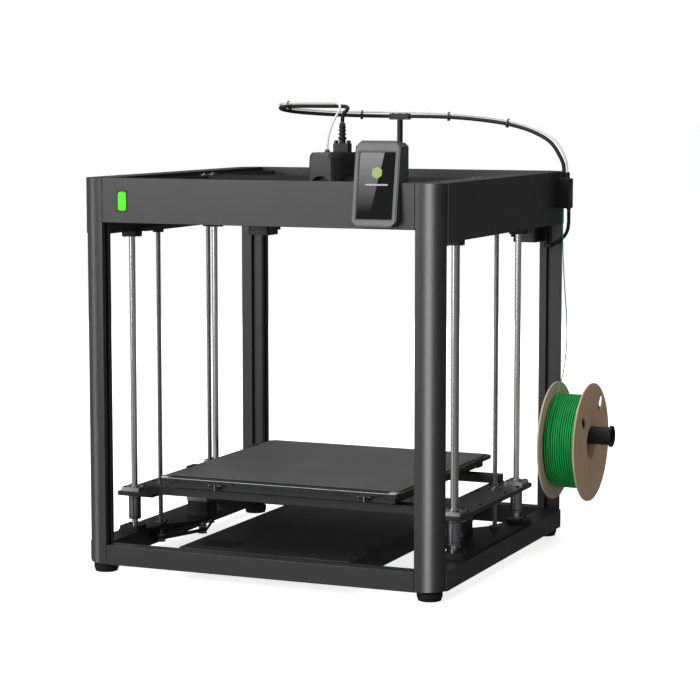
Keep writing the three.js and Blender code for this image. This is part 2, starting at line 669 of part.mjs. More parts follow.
// The holder is bolted to the rear column's slot and reaches forward along the frame's side.
function spoolAndHolder() {
  const tip = SPOOL_X + 100;
  const armX = [SENSOR.x0, SENSOR.x0 + 6];
  const lug = block([266, armX[1]], [SIDE_END - 6, SIDE_END], [HOLDER_Z - 20, HOLDER_Z + 20]);
  const arm = block(armX, [SPOOL_Y - 20, SIDE_END], [HOLDER_Z - 20, HOLDER_Z + 20]);
  const tube = cylinderX(HOLDER_R, [armX[0] + 1, tip - 2], SPOOL_Y, HOLDER_Z);
  const rim = cylinderX(HOLDER_R + 3, [tip - 4, tip], SPOOL_Y, HOLDER_Z);
  const bore = cylinderX(HOLDER_R - 3, [tip - 70, tip + 1], SPOOL_Y, HOLDER_Z);
  add('spool_holder', cut(join(lug, arm, tube, rim), bore), BLACK_PLASTIC);

  const flange = 3;
  const hub = SPOOL_BORE_R + 4;
  const ring = [[SPOOL_BORE_R, 0], [SPOOL_R, 0], [SPOOL_R, flange], [hub, flange], [hub, SPOOL_W - flange],
    [SPOOL_R, SPOOL_W - flange], [SPOOL_R, SPOOL_W], [SPOOL_BORE_R, SPOOL_W], [SPOOL_BORE_R, 0]];
  const winding = [[hub + GAP, flange + GAP], [79, flange + GAP], [79, SPOOL_W - flange - GAP],
    [hub + GAP, SPOOL_W - flange - GAP], [hub + GAP, flange + GAP]];
  const group = new THREE.Group();
  group.position.set(SPOOL_X, SPOOL_Y, SPOOL_Z);
  group.rotation.y = Math.PI / 2;
  printer.add(group);
  add('spool', turned(ring, 40), [0xb08a6a, 0.85, 0], group);
  add('filament_winding', turned(winding, 32), [0x0f8a3a, 0.35, 0], group);
}

const POST_Y = 290;
const CLIP_Z = 716.5; // the head cable passes through the clip at this height

function cablePost() {
  const half = 4.8;
  const post = cylinderZ(5, 0, POST_Y, [FRAME_TOP + GAP, CLIP_Z - half], 20);
  const clip = block(
    [-18, 18],
    [POST_Y - half - 0.8, POST_Y + half + 0.8],
    [CLIP_Z - half - 1, CLIP_Z + half],
  );
  const bore = cylinderX(4, [-19, 19], POST_Y, CLIP_Z, 20);
  add('cable_post', cut(join(post, clip), bore), BLACK_PLASTIC);
}

// Head cable: up out of the bend relief, round in a wide loop to the left, over the clip on the
// rear post and down to the rear right corner of the frame.
const HEAD_CABLE = [
  [0.5, 34, 708.3], [0.7, 34, 716], [3, 35, 724], [9, 37, 730.5], [5, 42, 734], [-14, 50, 735],
  [-55, 70, 735], [-100, 90, 735], [-136, 108, 734], [-156, 130, 731.5], [-161, 156, 728],
  [-152, 185, 724.5], [-128, 215, 721.5], [-95, 244, 719], [-60, 271, 717.5], [-27, 289, 716.7],
  [0, 290, 716.5], [27, 290, 716.5], [64, 288.5, 716.2], [110, 283, 714.5], [160, 276, 710.5],
  [210, 269, 703.5], [255, 263, 691], [286, 260, 674], [302.5, 259, 652], [309.4, 258.5, 637],
  [310.5, 258.5, 626], [310.5, 258.5, 614.4],
];
// Filament tube: out of the head cover, beside the head cable and into the sensor's fitting.
const FILAMENT_TUBE = [
  [-8.4, -8, 661.3], [-8.4, -7.6, 672], [-8, -4, 686], [-6.6, 3, 701], [-4.2, 13, 715], [-2.5, 25, 727],
  [-4.5, 36, 735.5], [-18, 48.5, 740.4], [-56, 69, 741], [-101, 89, 741], [-136.5, 107, 740],
  [-156.5, 129.5, 737.5], [-161.5, 156, 734], [-152, 184.5, 730.5], [-128, 213.5, 727.5],
  [-95, 244.5, 725.2], [-60, 271.5, 724.1], [-27, 289.3, 723.8], [0, 290.5, 723.7], [27, 290.5, 723.5],
  [62, 289.5, 722.6], [111, 283.5, 720.4], [162, 276.5, 716.4], [213, 269.5, 709], [260, 262.5, 696],
  [294, 257.5, 678], [311, 254.5, 655], [317, 253, 638], [318.15, 253, 623.4],
];
// Filament: from the sensor's foot down to the front of the winding.
const FILAMENT = [
  [312.6, 248, 563.7], [312.7, 247.6, 545], [313.4, 246.4, 515], [315.8, 243, 478], [320.6, 236.6, 435],
  [327, 228, 390], [332.5, 215, 345], [334.5, 198, 305], [334, 176, 272], [333, 153.5, 244],
  [332, 134, 216], [331, 125.2, 192], [331, 123.4, 176],
];
// Sensor cable: a slack bow from the sensor's foot to the rear right column.
const SENSOR_CABLE = [
  [319.15, 260, 559.7], [319.3, 260, 550], [319, 260.5, 538], [316.5, 262, 526], [311, 265, 517],
  [303, 269, 510], [294, 272, 505], [286, 274.4, 501.5], [279, 275.2, 499],
];

function cords() {
  add('head_cable', cord(HEAD_CABLE, 6.5, 40), RUBBER);
  add('filament_tube', cord(FILAMENT_TUBE, 4, 70), [0xf2f2f0, 0.4, 0]);
  add('filament_strand', cord(FILAMENT, 1.75, 60), [0x0f8a3a, 0.35, 0]);
  add('sensor_cable', cord(SENSOR_CABLE, 6, 12), RUBBER);
}

columns();
feet();
topBeams();
topPanels();
bottomBeams();
powerSwitch();
baseRails();
baseBox();
zDrives();
bed();
gantry();
head();
headConnector();
xyDrives();
display();
sensor();
spoolAndHolder();
cablePost();
cords();

// The origin is the middle of the printer's own footprint, on the floor.
const overall = new THREE.Box3().setFromObject(printer);
const centre = overall.getCenter(new THREE.Vector3());
printer.position.set(-centre.x, -centre.y, -overall.min.z);

export default printer;
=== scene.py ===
import json
import math
import random
from itertools import product

import bmesh
import bpy
from mathutils import Matrix, Vector


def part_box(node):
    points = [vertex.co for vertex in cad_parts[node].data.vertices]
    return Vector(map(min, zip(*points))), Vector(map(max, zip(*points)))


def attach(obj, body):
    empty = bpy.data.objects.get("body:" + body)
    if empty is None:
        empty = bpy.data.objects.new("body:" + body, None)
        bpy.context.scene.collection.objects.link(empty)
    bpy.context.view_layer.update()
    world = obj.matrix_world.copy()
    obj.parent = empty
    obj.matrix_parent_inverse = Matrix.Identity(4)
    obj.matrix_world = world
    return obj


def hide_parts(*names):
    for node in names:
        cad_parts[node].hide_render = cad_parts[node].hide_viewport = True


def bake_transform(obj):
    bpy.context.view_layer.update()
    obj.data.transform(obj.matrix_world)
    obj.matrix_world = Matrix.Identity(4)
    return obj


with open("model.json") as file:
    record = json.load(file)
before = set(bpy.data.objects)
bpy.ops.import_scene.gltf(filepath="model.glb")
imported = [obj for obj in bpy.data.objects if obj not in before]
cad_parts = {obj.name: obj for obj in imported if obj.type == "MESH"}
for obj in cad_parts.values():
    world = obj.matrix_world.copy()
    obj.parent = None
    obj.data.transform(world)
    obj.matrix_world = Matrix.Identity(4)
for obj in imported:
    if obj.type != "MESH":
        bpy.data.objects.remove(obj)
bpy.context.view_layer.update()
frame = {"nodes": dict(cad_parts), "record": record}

MM = 0.001
GAP = 0.3  # between solids that touch
FRAME_BOTTOM = 13.0  # height of the frame's underside in the drawing frame

first_post, last_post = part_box("column_front_left"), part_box("column_rear_right")
ORIGIN = (first_post[0] + last_post[1]) / 2
ORIGIN.z = first_post[0].z - FRAME_BOTTOM * MM
TO_ROW = Matrix.Translation(ORIGIN) @ Matrix.Scale(MM, 4)
IN_ROW = Matrix.Identity(4)  # for what is drawn in the row frame's metres

BODIES = frame["record"]["behaviour"]["bodies"]
BODY_OF = {node: body for body, nodes in BODIES.items() for node in nodes}
SLOT_OF = {entry["node"]: entry["material_slot"] for entry in frame["record"]["subparts"]}

CORNERS = {"front_left": (-1, -1), "front_right": (1, -1), "rear_left": (-1, 1), "rear_right": (1, 1)}
SIDES = {"left": -1, "right": 1}
ENDS = (-1, 1)


def node_box(node):
    """Lowest and highest corner of a CAD node, in millimetres in the drawing frame."""
    low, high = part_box(node)
    return (low - ORIGIN) / MM, (high - ORIGIN) / MM


# --- camera -----------------------------------------------------------------------------------

CAMERA_AT = (1.4789, -3.4036, 0.7551)  # metres, in the drawing frame
CAMERA_TURN = (83.55, 0.0, 23.08)  # degrees
FOCAL_LENGTH = 116.44


def add_camera():
    camera = bpy.data.objects.new("camera", bpy.data.cameras.new("camera"))
    bpy.context.scene.collection.objects.link(camera)
    camera.location = ORIGIN + Vector(CAMERA_AT)
    camera.rotation_euler = [math.radians(a) for a in CAMERA_TURN]
    camera.data.lens = FOCAL_LENGTH
    camera.data.sensor_width = 36.0
    camera.data.clip_end = 100.0
    bpy.context.scene.camera = camera


add_camera()


# --- materials --------------------------------------------------------------------------------


class Nodes:
    """A material's node tree, with short calls for the nodes that the surfaces here are made of."""

    def __init__(self, name):
        self.material = bpy.data.materials.new(name)
        self.material.use_nodes = True
        self.tree = self.material.node_tree
        self.bsdf = self.tree.nodes["Principled BSDF"]
        self.place = self.add("ShaderNodeTexCoord").outputs["Object"]

    def add(self, kind, inputs=(), **values):
        """A node with its settings, and with its inputs set or linked."""
        node = self.tree.nodes.new(kind)
        for key, value in values.items():
            setattr(node, key, value)
        for key, value in dict(inputs).items():
            self.put(node.inputs[key], value)
        return node

    def put(self, socket, value):
        if isinstance(value, bpy.types.NodeSocket):
            self.tree.links.new(value, socket)
        elif socket.type == "RGBA":
            socket.default_value = (*value, 1.0)
        else:
            socket.default_value = value

    def set(self, **values):
        for key, value in values.items():
            self.put(self.bsdf.inputs[key.replace("_", " ")], value)

    def stretched(self, scale):
        return self.add("ShaderNodeMapping", {"Vector": self.place, "Scale": scale}).outputs["Vector"]

    def noise(self, scale, detail=3.0, stretch=(1, 1, 1)):
        inputs = {"Scale": scale, "Detail": detail, "Vector": self.stretched(stretch)}
        return self.add("ShaderNodeTexNoise", inputs).outputs["Fac"]

    def cells(self, scale, stretch=(1, 1, 1)):
        inputs = {"Scale": scale, "Vector": self.stretched(stretch)}
        return self.add("ShaderNodeTexVoronoi", inputs).outputs["Distance"]

    def along(self, axis):
        return self.add("ShaderNodeSeparateXYZ", {"Vector": self.place}).outputs[axis]

    def remap(self, value, low, high, to_low, to_high):
        inputs = {"Value": value, "From Min": low, "From Max": high, "To Min": to_low, "To Max": to_high}
        return self.add("ShaderNodeMapRange", inputs).outputs["Result"]

    def maths(self, operation, a, b=0.0):
        return self.add("ShaderNodeMath", {0: a, 1: b}, operation=operation).outputs["Value"]

    def mix(self, share, a, b):
        node = self.add("ShaderNodeMix", {"Factor": share}, data_type="RGBA")
        colours = [s for s in node.inputs if s.type == "RGBA"]
        self.put(colours[0], a)
        self.put(colours[1], b)
        return [s for s in node.outputs if s.type == "RGBA"][0]

    def bump(self, height, distance):
        node = self.add("ShaderNodeBump", {"Height": height, "Distance": distance, "Strength": 1.0})
        self.set(Normal=node.outputs["Normal"])


def shade(colour, factor):
    return tuple(min(1.0, c * factor) for c in colour)


def surface(name, colour, rough, metal=0.0, spread=0.12, cloud=18.0, grain=1400.0, depth=0.00002,
            stretch=(1, 1, 1), rough_spread=0.08, wear=0.0, worn=None, specular=0.5):
    """The common surface: clouded colour, a fine grain in bump and roughness, and worn edges."""
    n = Nodes(name)
    clouds = n.noise(cloud, 4.0, stretch)
    fine = n.noise(grain, 2.0, stretch)
    blend = n.maths("ADD", n.maths("MULTIPLY", clouds, 0.65), n.maths("MULTIPLY", fine, 0.35))
    base = n.mix(n.remap(blend, 0.3, 0.7, 0, 1), shade(colour, 1 - spread), shade(colour, 1 + spread))
    if wear > 0:
        edge = n.add("ShaderNodeAttribute", attribute_name="edge_wear").outputs["Fac"]
        base = n.mix(n.maths("MULTIPLY", edge, n.remap(n.noise(90.0, 5.0), 0.4, 0.62, 0, wear)), base, worn)
    n.set(Base_Color=base, Metallic=metal, Specular_IOR_Level=specular)
    n.set(Roughness=n.remap(fine, 0.3, 0.7, rough - rough_spread, rough + rough_spread))
    n.bump(fine, depth)
    return n.material


def cardboard(name, tint):
    n = Nodes(name)
    fibre = n.noise(220.0, 6.0, (1, 1, 0.35))
    specks = n.remap(n.cells(420.0), 0.02, 0.09, 1, 0)
    colour = n.mix(n.remap(n.noise(14.0, 5.0), 0.3, 0.7, 0, 1), shade(tint, 0.88), tint)
    colour = n.mix(n.remap(fibre, 0.35, 0.7, 0, 0.5), colour, shade(tint, 1.22))
    colour = n.mix(n.maths("MULTIPLY", specks, 0.35), colour, (0.2, 0.11, 0.06))
    n.set(Base_Color=colour, Roughness=n.remap(fibre, 0.3, 0.7, 0.78, 0.95), Specular_IOR_Level=0.25)
    n.bump(fibre, 0.00008)
    return n.material


def strand():
    """Drawn plastic filament: glossy, a little translucent, with a faint change along its length."""
    n = Nodes("filament_green")
    n.set(Base_Color=n.mix(n.remap(n.noise(60.0), 0.3, 0.7, 0, 1), (0.004, 0.42, 0.07), (0.01, 0.58, 0.13)))
    n.set(Roughness=n.remap(n.noise(900.0), 0.3, 0.7, 0.34, 0.46), Specular_IOR_Level=0.4)
    n.set(Subsurface_Weight=0.1, Subsurface_Scale=0.001, Subsurface_Radius=(0.3, 1.0, 0.4))
    n.bump(n.noise(1500.0), 0.00002)
    return n.material


def glow():
    """The status light's diffuser: brightest in the middle of its height."""
    n = Nodes("status_glow")
    low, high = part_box("status_light")
    away = n.maths("ABSOLUTE", n.maths("SUBTRACT", n.along("Z"), (low.z + high.z) / 2))
    strength = n.remap(away, 0.004, 0.016, 1.1, 0.85)
    fleck = n.remap(n.noise(500.0), 0.3, 0.7, 0.95, 1.05)
    n.set(Base_Color=(0.01, 0.1, 0.005), Roughness=0.6, Specular_IOR_Level=0.1)
    n.set(Emission_Color=(0.115, 1.0, 0.035), Emission_Strength=n.maths("MULTIPLY", strength, fleck))
    return n.material


def screen_glass():
    """Black cover glass with a painted reflection: a lighter sheen over its upper left, beyond a slanting
    line, that fades towards the bottom.
    """
    n = Nodes("screen_glass")
    low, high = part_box("display_glass")
    across = n.remap(n.along("X"), low.x, high.x, 0, 1)
    up = n.remap(n.along("Z"), low.z, high.z, 0, 1)
    slant = n.maths("ADD", n.maths("SUBTRACT", n.maths("MULTIPLY", up, 0.34), across), 0.36)
    # painted reflection: the sheen's share of the lighter grey, set by the slanting line and the height
    painted_reflection = n.maths("MULTIPLY", n.remap(slant, 0.0, 0.012, 0, 1), n.remap(up, 0.1, 1.0, 0.0, 1.0))
    painted_reflection = n.maths("MULTIPLY", painted_reflection, n.remap(n.noise(800.0), 0.3, 0.7, 0.97, 1.03))
    n.set(Base_Color=n.mix(painted_reflection, (0.004, 0.004, 0.0045), (0.34, 0.34, 0.345)))
    n.set(Roughness=n.remap(n.noise(40.0), 0.3, 0.7, 0.2, 0.26), Specular_IOR_Level=0.03)
    return n.material


def milky_tube_with_painted_glow():
    """Thin translucent hose: light goes through it from all round, so it looks brighter than paint; that
    extra brightness is a faint painted glow.
    """
    n = Nodes("tube_white")
    n.set(Base_Color=n.mix(n.remap(n.noise(35.0), 0.3, 0.7, 0, 1), (0.80, 0.80, 0.79), (0.92, 0.92, 0.91)))
    n.set(Roughness=n.remap(n.noise(500.0), 0.3, 0.7, 0.2, 0.34), Coat_Weight=0.3)
    n.set(Subsurface_Weight=0.4, Subsurface_Scale=0.003)
    # painted glow: the hose gives off a little light of its own, though it is no lamp
    n.set(Emission_Color=(1.0, 1.0, 0.99), Emission_Strength=0.12)
    n.bump(n.noise(400.0), 0.00001)
    return n.material


def circuit():
    n = Nodes("circuit_board")
    lines = n.remap(n.cells(260.0, (1, 1, 0.2)), 0.18, 0.24, 0, 1)
    n.set(Base_Color=n.mix(lines, (0.02, 0.09, 0.045), (0.008, 0.045, 0.025)), Roughness=0.45)
    n.bump(lines, 0.00003)
    return n.material


def belt_rubber():
    n = Nodes("toothed_belt")
    ribs = n.add("ShaderNodeTexWave", {"Scale": 290.0, "Vector": n.place}, wave_type="BANDS",
                 bands_direction="DIAGONAL").outputs["Fac"]
    n.set(Base_Color=n.mix(ribs, (0.012, 0.012, 0.012), (0.03, 0.03, 0.03)), Roughness=0.7)
    n.bump(ribs, 0.0002)
    return n.material


SURFACES = {
    "frame_coat": dict(colour=(0.034, 0.034, 0.035), rough=0.38, grain=1800, wear=0.3,
                       worn=(0.11, 0.11, 0.115), specular=0.45),
    # painted shade: a darker copy of the frame's coat, for faces inside the frame that lie in shade
    "painted_shade_coat": dict(colour=(0.012, 0.012, 0.0125), rough=0.45, grain=1800, wear=0.3,
                       worn=(0.07, 0.07, 0.07), specular=0.35),
    "foot_rubber": dict(colour=(0.011, 0.011, 0.011), rough=0.72, grain=900, depth=0.00004, specular=0.3),
    "rail_steel": dict(colour=(0.78, 0.78, 0.79), rough=0.24, metal=1, spread=0.04, grain=300,
                       depth=0.0000005, stretch=(1, 1, 0.02), rough_spread=0.03),
    "bearing_steel": dict(colour=(0.30, 0.30, 0.31), rough=0.27, metal=1, spread=0.08, grain=900,
                          depth=0.00001, stretch=(1, 1, 0.05)),
    "screw_steel": dict(colour=(0.40, 0.40, 0.41), rough=0.3, metal=1, grain=900, depth=0.00001),
    "plastic_black": dict(colour=(0.013, 0.013, 0.014), rough=0.5, grain=1200, depth=0.00003, wear=0.3,
                          worn=(0.05, 0.05, 0.052)),
    "sheet_black": dict(colour=(0.017, 0.017, 0.018), rough=0.5, grain=1500, depth=0.00004, wear=0.3,
                        worn=(0.08, 0.08, 0.082), specular=0.4),
    "motor_black": dict(colour=(0.012, 0.012, 0.013), rough=0.4, wear=0.4, worn=(0.09, 0.09, 0.09)),
    "pulley_aluminium": dict(colour=(0.3, 0.3, 0.305), rough=0.4, metal=1, spread=0.08, grain=700,
                             stretch=(1, 1, 6), depth=0.00001),
    "supply_case": dict(colour=(0.42, 0.42, 0.43), rough=0.42, metal=1, grain=500),
    "carriage_black": dict(colour=(0.016, 0.016, 0.017), rough=0.45, grain=1500, wear=0.45,
                           worn=(0.1, 0.1, 0.103)),
    "bed_aluminium": dict(colour=(0.016, 0.016, 0.017), rough=0.42, metal=0.3, grain=900,
                          stretch=(0.05, 1, 1), wear=0.7, worn=(0.25, 0.25, 0.25)),
    "bare_aluminium": dict(colour=(0.42, 0.42, 0.43), rough=0.38, metal=1, spread=0.07, grain=900,
                           stretch=(0.05, 1, 1), depth=0.000012),
    "plate_coat": dict(colour=(0.085, 0.085, 0.086), rough=0.5, spread=0.2, cloud=9, grain=1700,
                       depth=0.00009),
    "plastic_grey": dict(colour=(0.085, 0.087, 0.09), rough=0.45, grain=1300, wear=0.3,
                         worn=(0.17, 0.17, 0.175)),
    "shell_grey": dict(colour=(0.04, 0.04, 0.041), rough=0.45, grain=1300, wear=0.3,
                       worn=(0.12, 0.12, 0.125)),
    "bezel_grey": dict(colour=(0.15, 0.15, 0.152), rough=0.4, grain=1300),
    # painted highlight: a lighter, metal-like grey for the thin ring round the display glass
    "painted_edge_highlight": dict(colour=(0.17, 0.17, 0.175), rough=0.4, metal=0.6, spread=0.05),
    "icon": dict(colour=(0.34, 0.52, 0.12), rough=0.4, spread=0.1),
    "screen_ink": dict(colour=(0.55, 0.55, 0.55), rough=0.4, spread=0.05),
    # painted shade: the filament under the outer turns, made near-black
    "painted_shade_filament": dict(colour=(0.0005, 0.018, 0.004), rough=0.7),
    "cable_black": dict(colour=(0.014, 0.014, 0.014), rough=0.5, grain=700, depth=0.00004, specular=0.4),
    "brass": dict(colour=(0.62, 0.42, 0.16), rough=0.28, metal=1, spread=0.1, grain=600),
    "zinc": dict(colour=(0.32, 0.32, 0.33), rough=0.36, metal=1, spread=0.1, grain=600),
    "black_screw": dict(colour=(0.02, 0.02, 0.021), rough=0.35, metal=0.6, grain=900),
    "silicone": dict(colour=(0.32, 0.02, 0.02), rough=0.55, grain=800),
    "collet": dict(colour=(0.02, 0.06, 0.30), rough=0.4),
}
MATERIALS = {name: surface(name, **look) for name, look in SURFACES.items()}
MATERIALS |= {
    "status_green": glow(), "circuit_green": circuit(), "display_glass": screen_glass(),
    "cardboard": cardboard("pressed_board", (0.95, 0.64, 0.43)),
    "cardboard_grey": cardboard("pressed_board_grey", (0.80, 0.62, 0.50)),
    "filament_green": strand(), "tube_white": milky_tube_with_painted_glow(), "belt": belt_rubber(),
}


# --- shapes, in millimetres -------------------------------------------------------------------
# A shape is a list of rings of points, joined one to the next. Its ends are flat caps, unless its last
# ring is its first again. box() and the others return a list of shapes, and piece() makes them.

SMOOTH_ANGLE = math.radians(34)


def join_rings(bm, rings):
    for a, b in zip(rings, rings[1:]):
        for i in range(len(a)):
            j = (i + 1) % len(a)
            bm.faces.new((a[i], a[j], b[j], b[i]))


def piece(name, material, shapes, **how):
    """One object of several shapes; how is what finish_piece() takes."""
    bm = bmesh.new()
    for shape in shapes:
        closed = shape[0] == shape[-1]
        rings = [[bm.verts.new(p) for p in ring] for ring in (shape[:-1] if closed else shape)]
        join_rings(bm, rings + rings[:1] if closed else rings)
        if not closed:
            bm.faces.new(rings[0][::-1])
            bm.faces.new(rings[-1])
    return finish_piece(name, bm, material, **how)


def remake(node, part, shapes, material=None, **how):
    """A piece that stands for a CAD node, alone or with others."""
    return piece(f"{node}_{part}", material, shapes, replaces=node, **how)


def finish_piece(name, bm, material, body=None, replaces=None, slot=None, bevel=0.0, segments=2,
                 bevel_angle=38, to_row=TO_ROW):
    """Rounds the edges, makes the object, gives it its material, the slot's unless another is given, and puts
    it on its body. body="" leaves the piece on no body."""
    bmesh.ops.remove_doubles(bm, verts=bm.verts, dist=1e-4 if to_row is TO_ROW else 1e-7)
    bmesh.ops.recalc_face_normals(bm, faces=bm.faces)
    wear = bm.faces.layers.float.new("edge_wear")
    if bevel > 0:
        limit = math.radians(bevel_angle)
        sharp = [e for e in bm.edges if e.is_manifold and e.calc_face_angle(0) > limit]
        rounded = bmesh.ops.bevel(bm, geom=sharp, offset=bevel, segments=segments, profile=0.5,
                                  affect="EDGES", clamp_overlap=True)
        for face in rounded["faces"]:
            face[wear] = 1.0
    for face in bm.faces:
        face.smooth = True
    for edge in bm.edges:
        edge.smooth = edge.is_manifold and edge.calc_face_angle(0) < SMOOTH_ANGLE
    mesh = bpy.data.meshes.new(name)
    bm.to_mesh(mesh)
    bm.free()
    mesh.transform(to_row)
    made = bpy.data.objects.new(name, mesh)
    bpy.context.scene.collection.objects.link(made)
    if bevel > 0:
        # keeps the broad faces flat beside their rounded edges
        made.modifiers.new("level", "WEIGHTED_NORMAL").keep_sharp = True
    if replaces:
        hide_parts(replaces)
        slot = SLOT_OF[replaces]
    if body is None:
        body = BODY_OF[replaces] if replaces else "frame"
    mesh.materials.append(MATERIALS[material or slot])
    if body:
        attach(made, body)
    return made


def refine(node, bevel=0.5, segments=2, material=None):
    """The CAD node's own solid, welded, its facets merged and its edges rounded."""
    bm = bmesh.new()
    bm.from_mesh(frame["nodes"][node].data)
    bmesh.ops.remove_doubles(bm, verts=bm.verts, dist=2e-6)
    bmesh.ops.dissolve_limit(bm, angle_limit=math.radians(0.6), verts=bm.verts, edges=bm.edges)
    return finish_piece(f"{node}_body", bm, material, replaces=node, bevel=bevel * MM,
                        segments=segments, to_row=IN_ROW)


def paint(made, material, inside):
    """Gives another material to the faces whose middles, in the drawing frame, pass the test."""
    mesh = made.data
    mesh.materials.append(MATERIALS[material])
    for face in mesh.polygons:
        if inside((face.center - ORIGIN) / MM):
            face.material_index = len(mesh.materials) - 1


def circle(count, r=1.0, x=0.0, y=0.0, first=0.0):
    angles = [first + 2 * math.pi * i / count for i in range(count)]
    return [(x + r * math.cos(a), y + r * math.sin(a)) for a in angles]


def toothed(teeth, r, x, y):
    """A round outline with half a millimetre deep teeth."""
    return [tip if i % 4 < 2 else root for i, (tip, root) in
            enumerate(zip(circle(4 * teeth, r, x, y), circle(4 * teeth, r - 0.5, x, y)))]


def round_outline(w, h, r, a=0.0, b=0.0):
    """A rectangle of w by h about (a, b), with rounded corners."""
    steps = 5
    points = []
    for quarter, (sx, sy) in enumerate(((1, 1), (-1, 1), (-1, -1), (1, -1))):
        for i in range(steps + 1):
            angle = math.pi / 2 * (quarter + i / steps)
            points.append((a + sx * (w / 2 - r) + r * math.cos(angle),
                           b + sy * (h / 2 - r) + r * math.sin(angle)))
    return points


def pair(middle, reach):
    return middle - reach, middle + reach


def box(x, y, z):
    """A box from three ranges, each given either way round."""
    (x0, x1), (y0, y1), (z0, z1) = sorted(x), sorted(y), sorted(z)
    return [[[(x0, y0, h), (x1, y0, h), (x1, y1, h), (x0, y1, h)] for h in (z0, z1)]]


AXES = {
    "X": lambda a, b, t: (t, a, b),
    "Y": lambda a, b, t: (b, t, a),
    "Z": lambda a, b, t: (a, b, t),
}


def prism(outline, axis, span):
    """An outline drawn in the two directions after axis, in X, Y, Z order, run along axis."""
    return [[[AXES[axis](a, b, t) for a, b in outline] for t in span]]


def lathe(profile, centre, axis="Z", sides=40):
    """A profile of (radius, height) points turned about an axis through centre."""
    t0 = centre["XYZ".index(axis)]
    a0, b0 = (centre[i] for i in {"X": (1, 2), "Y": (2, 0), "Z": (0, 1)}[axis])
    return [[[AXES[axis](a, b, t0 + t) for a, b in circle(sides, r, a0, b0)] for r, t in profile]]


def rod(centre, r, span, axis="Z", sides=32, chamfer=0.6):
    """A bar with chamfered ends; span is counted from centre along axis."""
    a, b = span
    profile = [(r - chamfer, a), (r, a + chamfer), (r, b - chamfer), (r - chamfer, b)]
    return lathe(profile, centre, axis, sides)


def washer(inner, rim, centre, axis="Z", sides=40):
    """A ring: its bore's radius, and the (radius, height) points of its outside."""
    low, high = rim[0][1], rim[-1][1]
    return lathe([(inner, low), *rim, (inner, high), (inner, low)], centre, axis, sides)


def screw_row(name, places, axis, sign, material="zinc", body="frame", r=2.7, high=2.0):
    """One piece of equal cap screws' heads with hexagon sockets, standing out along sign times axis."""
    profile = [(r, 0), (r, high * 0.85), (r - 0.3, high), (r * 0.55, high), (r * 0.5, high - 1.1)]
    profile = [(q, sign * t) for q, t in profile]
    piece(name, material, [lathe(profile, place, axis, 12)[0] for place in places], body=body)


def smooth_route(points, count):
    """A centripetal Catmull-Rom curve through the points, sampled evenly in length."""
    pts = [Vector(p) for p in points]
    pts = [pts[0] * 2 - pts[1]] + pts + [pts[-1] * 2 - pts[-2]]
    fine = []
    for p0, p1, p2, p3 in zip(pts, pts[1:], pts[2:], pts[3:]):
        knots = [0.0]
        for a, b in ((p0, p1), (p1, p2), (p2, p3)):
            knots.append(knots[-1] + max((b - a).length, 1e-9) ** 0.5)
        t0, t1, t2, t3 = knots
        for i in range(12):
            t = t1 + (t2 - t1) * i / 12
            a1 = p0.lerp(p1, (t - t0) / (t1 - t0))
            a2 = p1.lerp(p2, (t - t1) / (t2 - t1))
            a3 = p2.lerp(p3, (t - t2) / (t3 - t2))
            b1 = a1.lerp(a2, (t - t0) / (t2 - t0))
            b2 = a2.lerp(a3, (t - t1) / (t3 - t1))
            fine.append(b1.lerp(b2, (t - t1) / (t2 - t1)))
    fine.append(pts[-2].copy())
    lengths = [0.0]
    for a, b in zip(fine, fine[1:]):
        lengths.append(lengths[-1] + (b - a).length)
    route = []
    k = 0
    for i in range(count):
        goal = lengths[-1] * i / (count - 1)
        while k < len(fine) - 2 and lengths[k + 1] < goal:
            k += 1
        share = (goal - lengths[k]) / max(lengths[k + 1] - lengths[k], 1e-12)
        route.append(fine[k].lerp(fine[k + 1], min(1.0, share)))
    return route


def tube(route, r, sides=14):
    """A round tube along a route, its section carried on without twist."""
    shape = []
    normal = None
    for i, p in enumerate(route):
        ahead = route[min(i + 1, len(route) - 1)]
        t = (ahead - route[max(i - 1, 0)]).normalized()
        if normal is None:
            normal = Vector((0, 0, 1)) if abs(t.z) < 0.9 else Vector((1, 0, 0))
        normal = (normal - t * normal.dot(t)).normalized()
        side = t.cross(normal)
        shape.append([p + normal * (r * c) + side * (r * s) for c, s in circle(sides)])
    return [shape]


# --- cords ------------------------------------------------------------------------------------
# The routes are in metres, in the drawing frame, and are the ones that the CAD cords follow.

HEAD_CABLE = [
    (0.0005, 0.034, 0.7083), (0.0007, 0.034, 0.716), (0.003, 0.035, 0.724), (0.009, 0.037, 0.7305),
    (0.005, 0.042, 0.734), (-0.014, 0.050, 0.735), (-0.055, 0.070, 0.735), (-0.100, 0.090, 0.735),
    (-0.136, 0.108, 0.734), (-0.156, 0.130, 0.7315), (-0.161, 0.156, 0.728), (-0.152, 0.185, 0.7245),
    (-0.128, 0.215, 0.7215), (-0.095, 0.244, 0.719), (-0.060, 0.271, 0.7175), (-0.027, 0.289, 0.7167),
    (0.0, 0.290, 0.7165), (0.027, 0.290, 0.7165), (0.064, 0.2885, 0.7162), (0.110, 0.283, 0.7145),
    (0.160, 0.276, 0.7105), (0.210, 0.269, 0.7035), (0.255, 0.263, 0.691), (0.286, 0.260, 0.674),
    (0.3025, 0.259, 0.652), (0.3094, 0.2585, 0.637), (0.3105, 0.2585, 0.626), (0.3105, 0.2585, 0.6144),
]
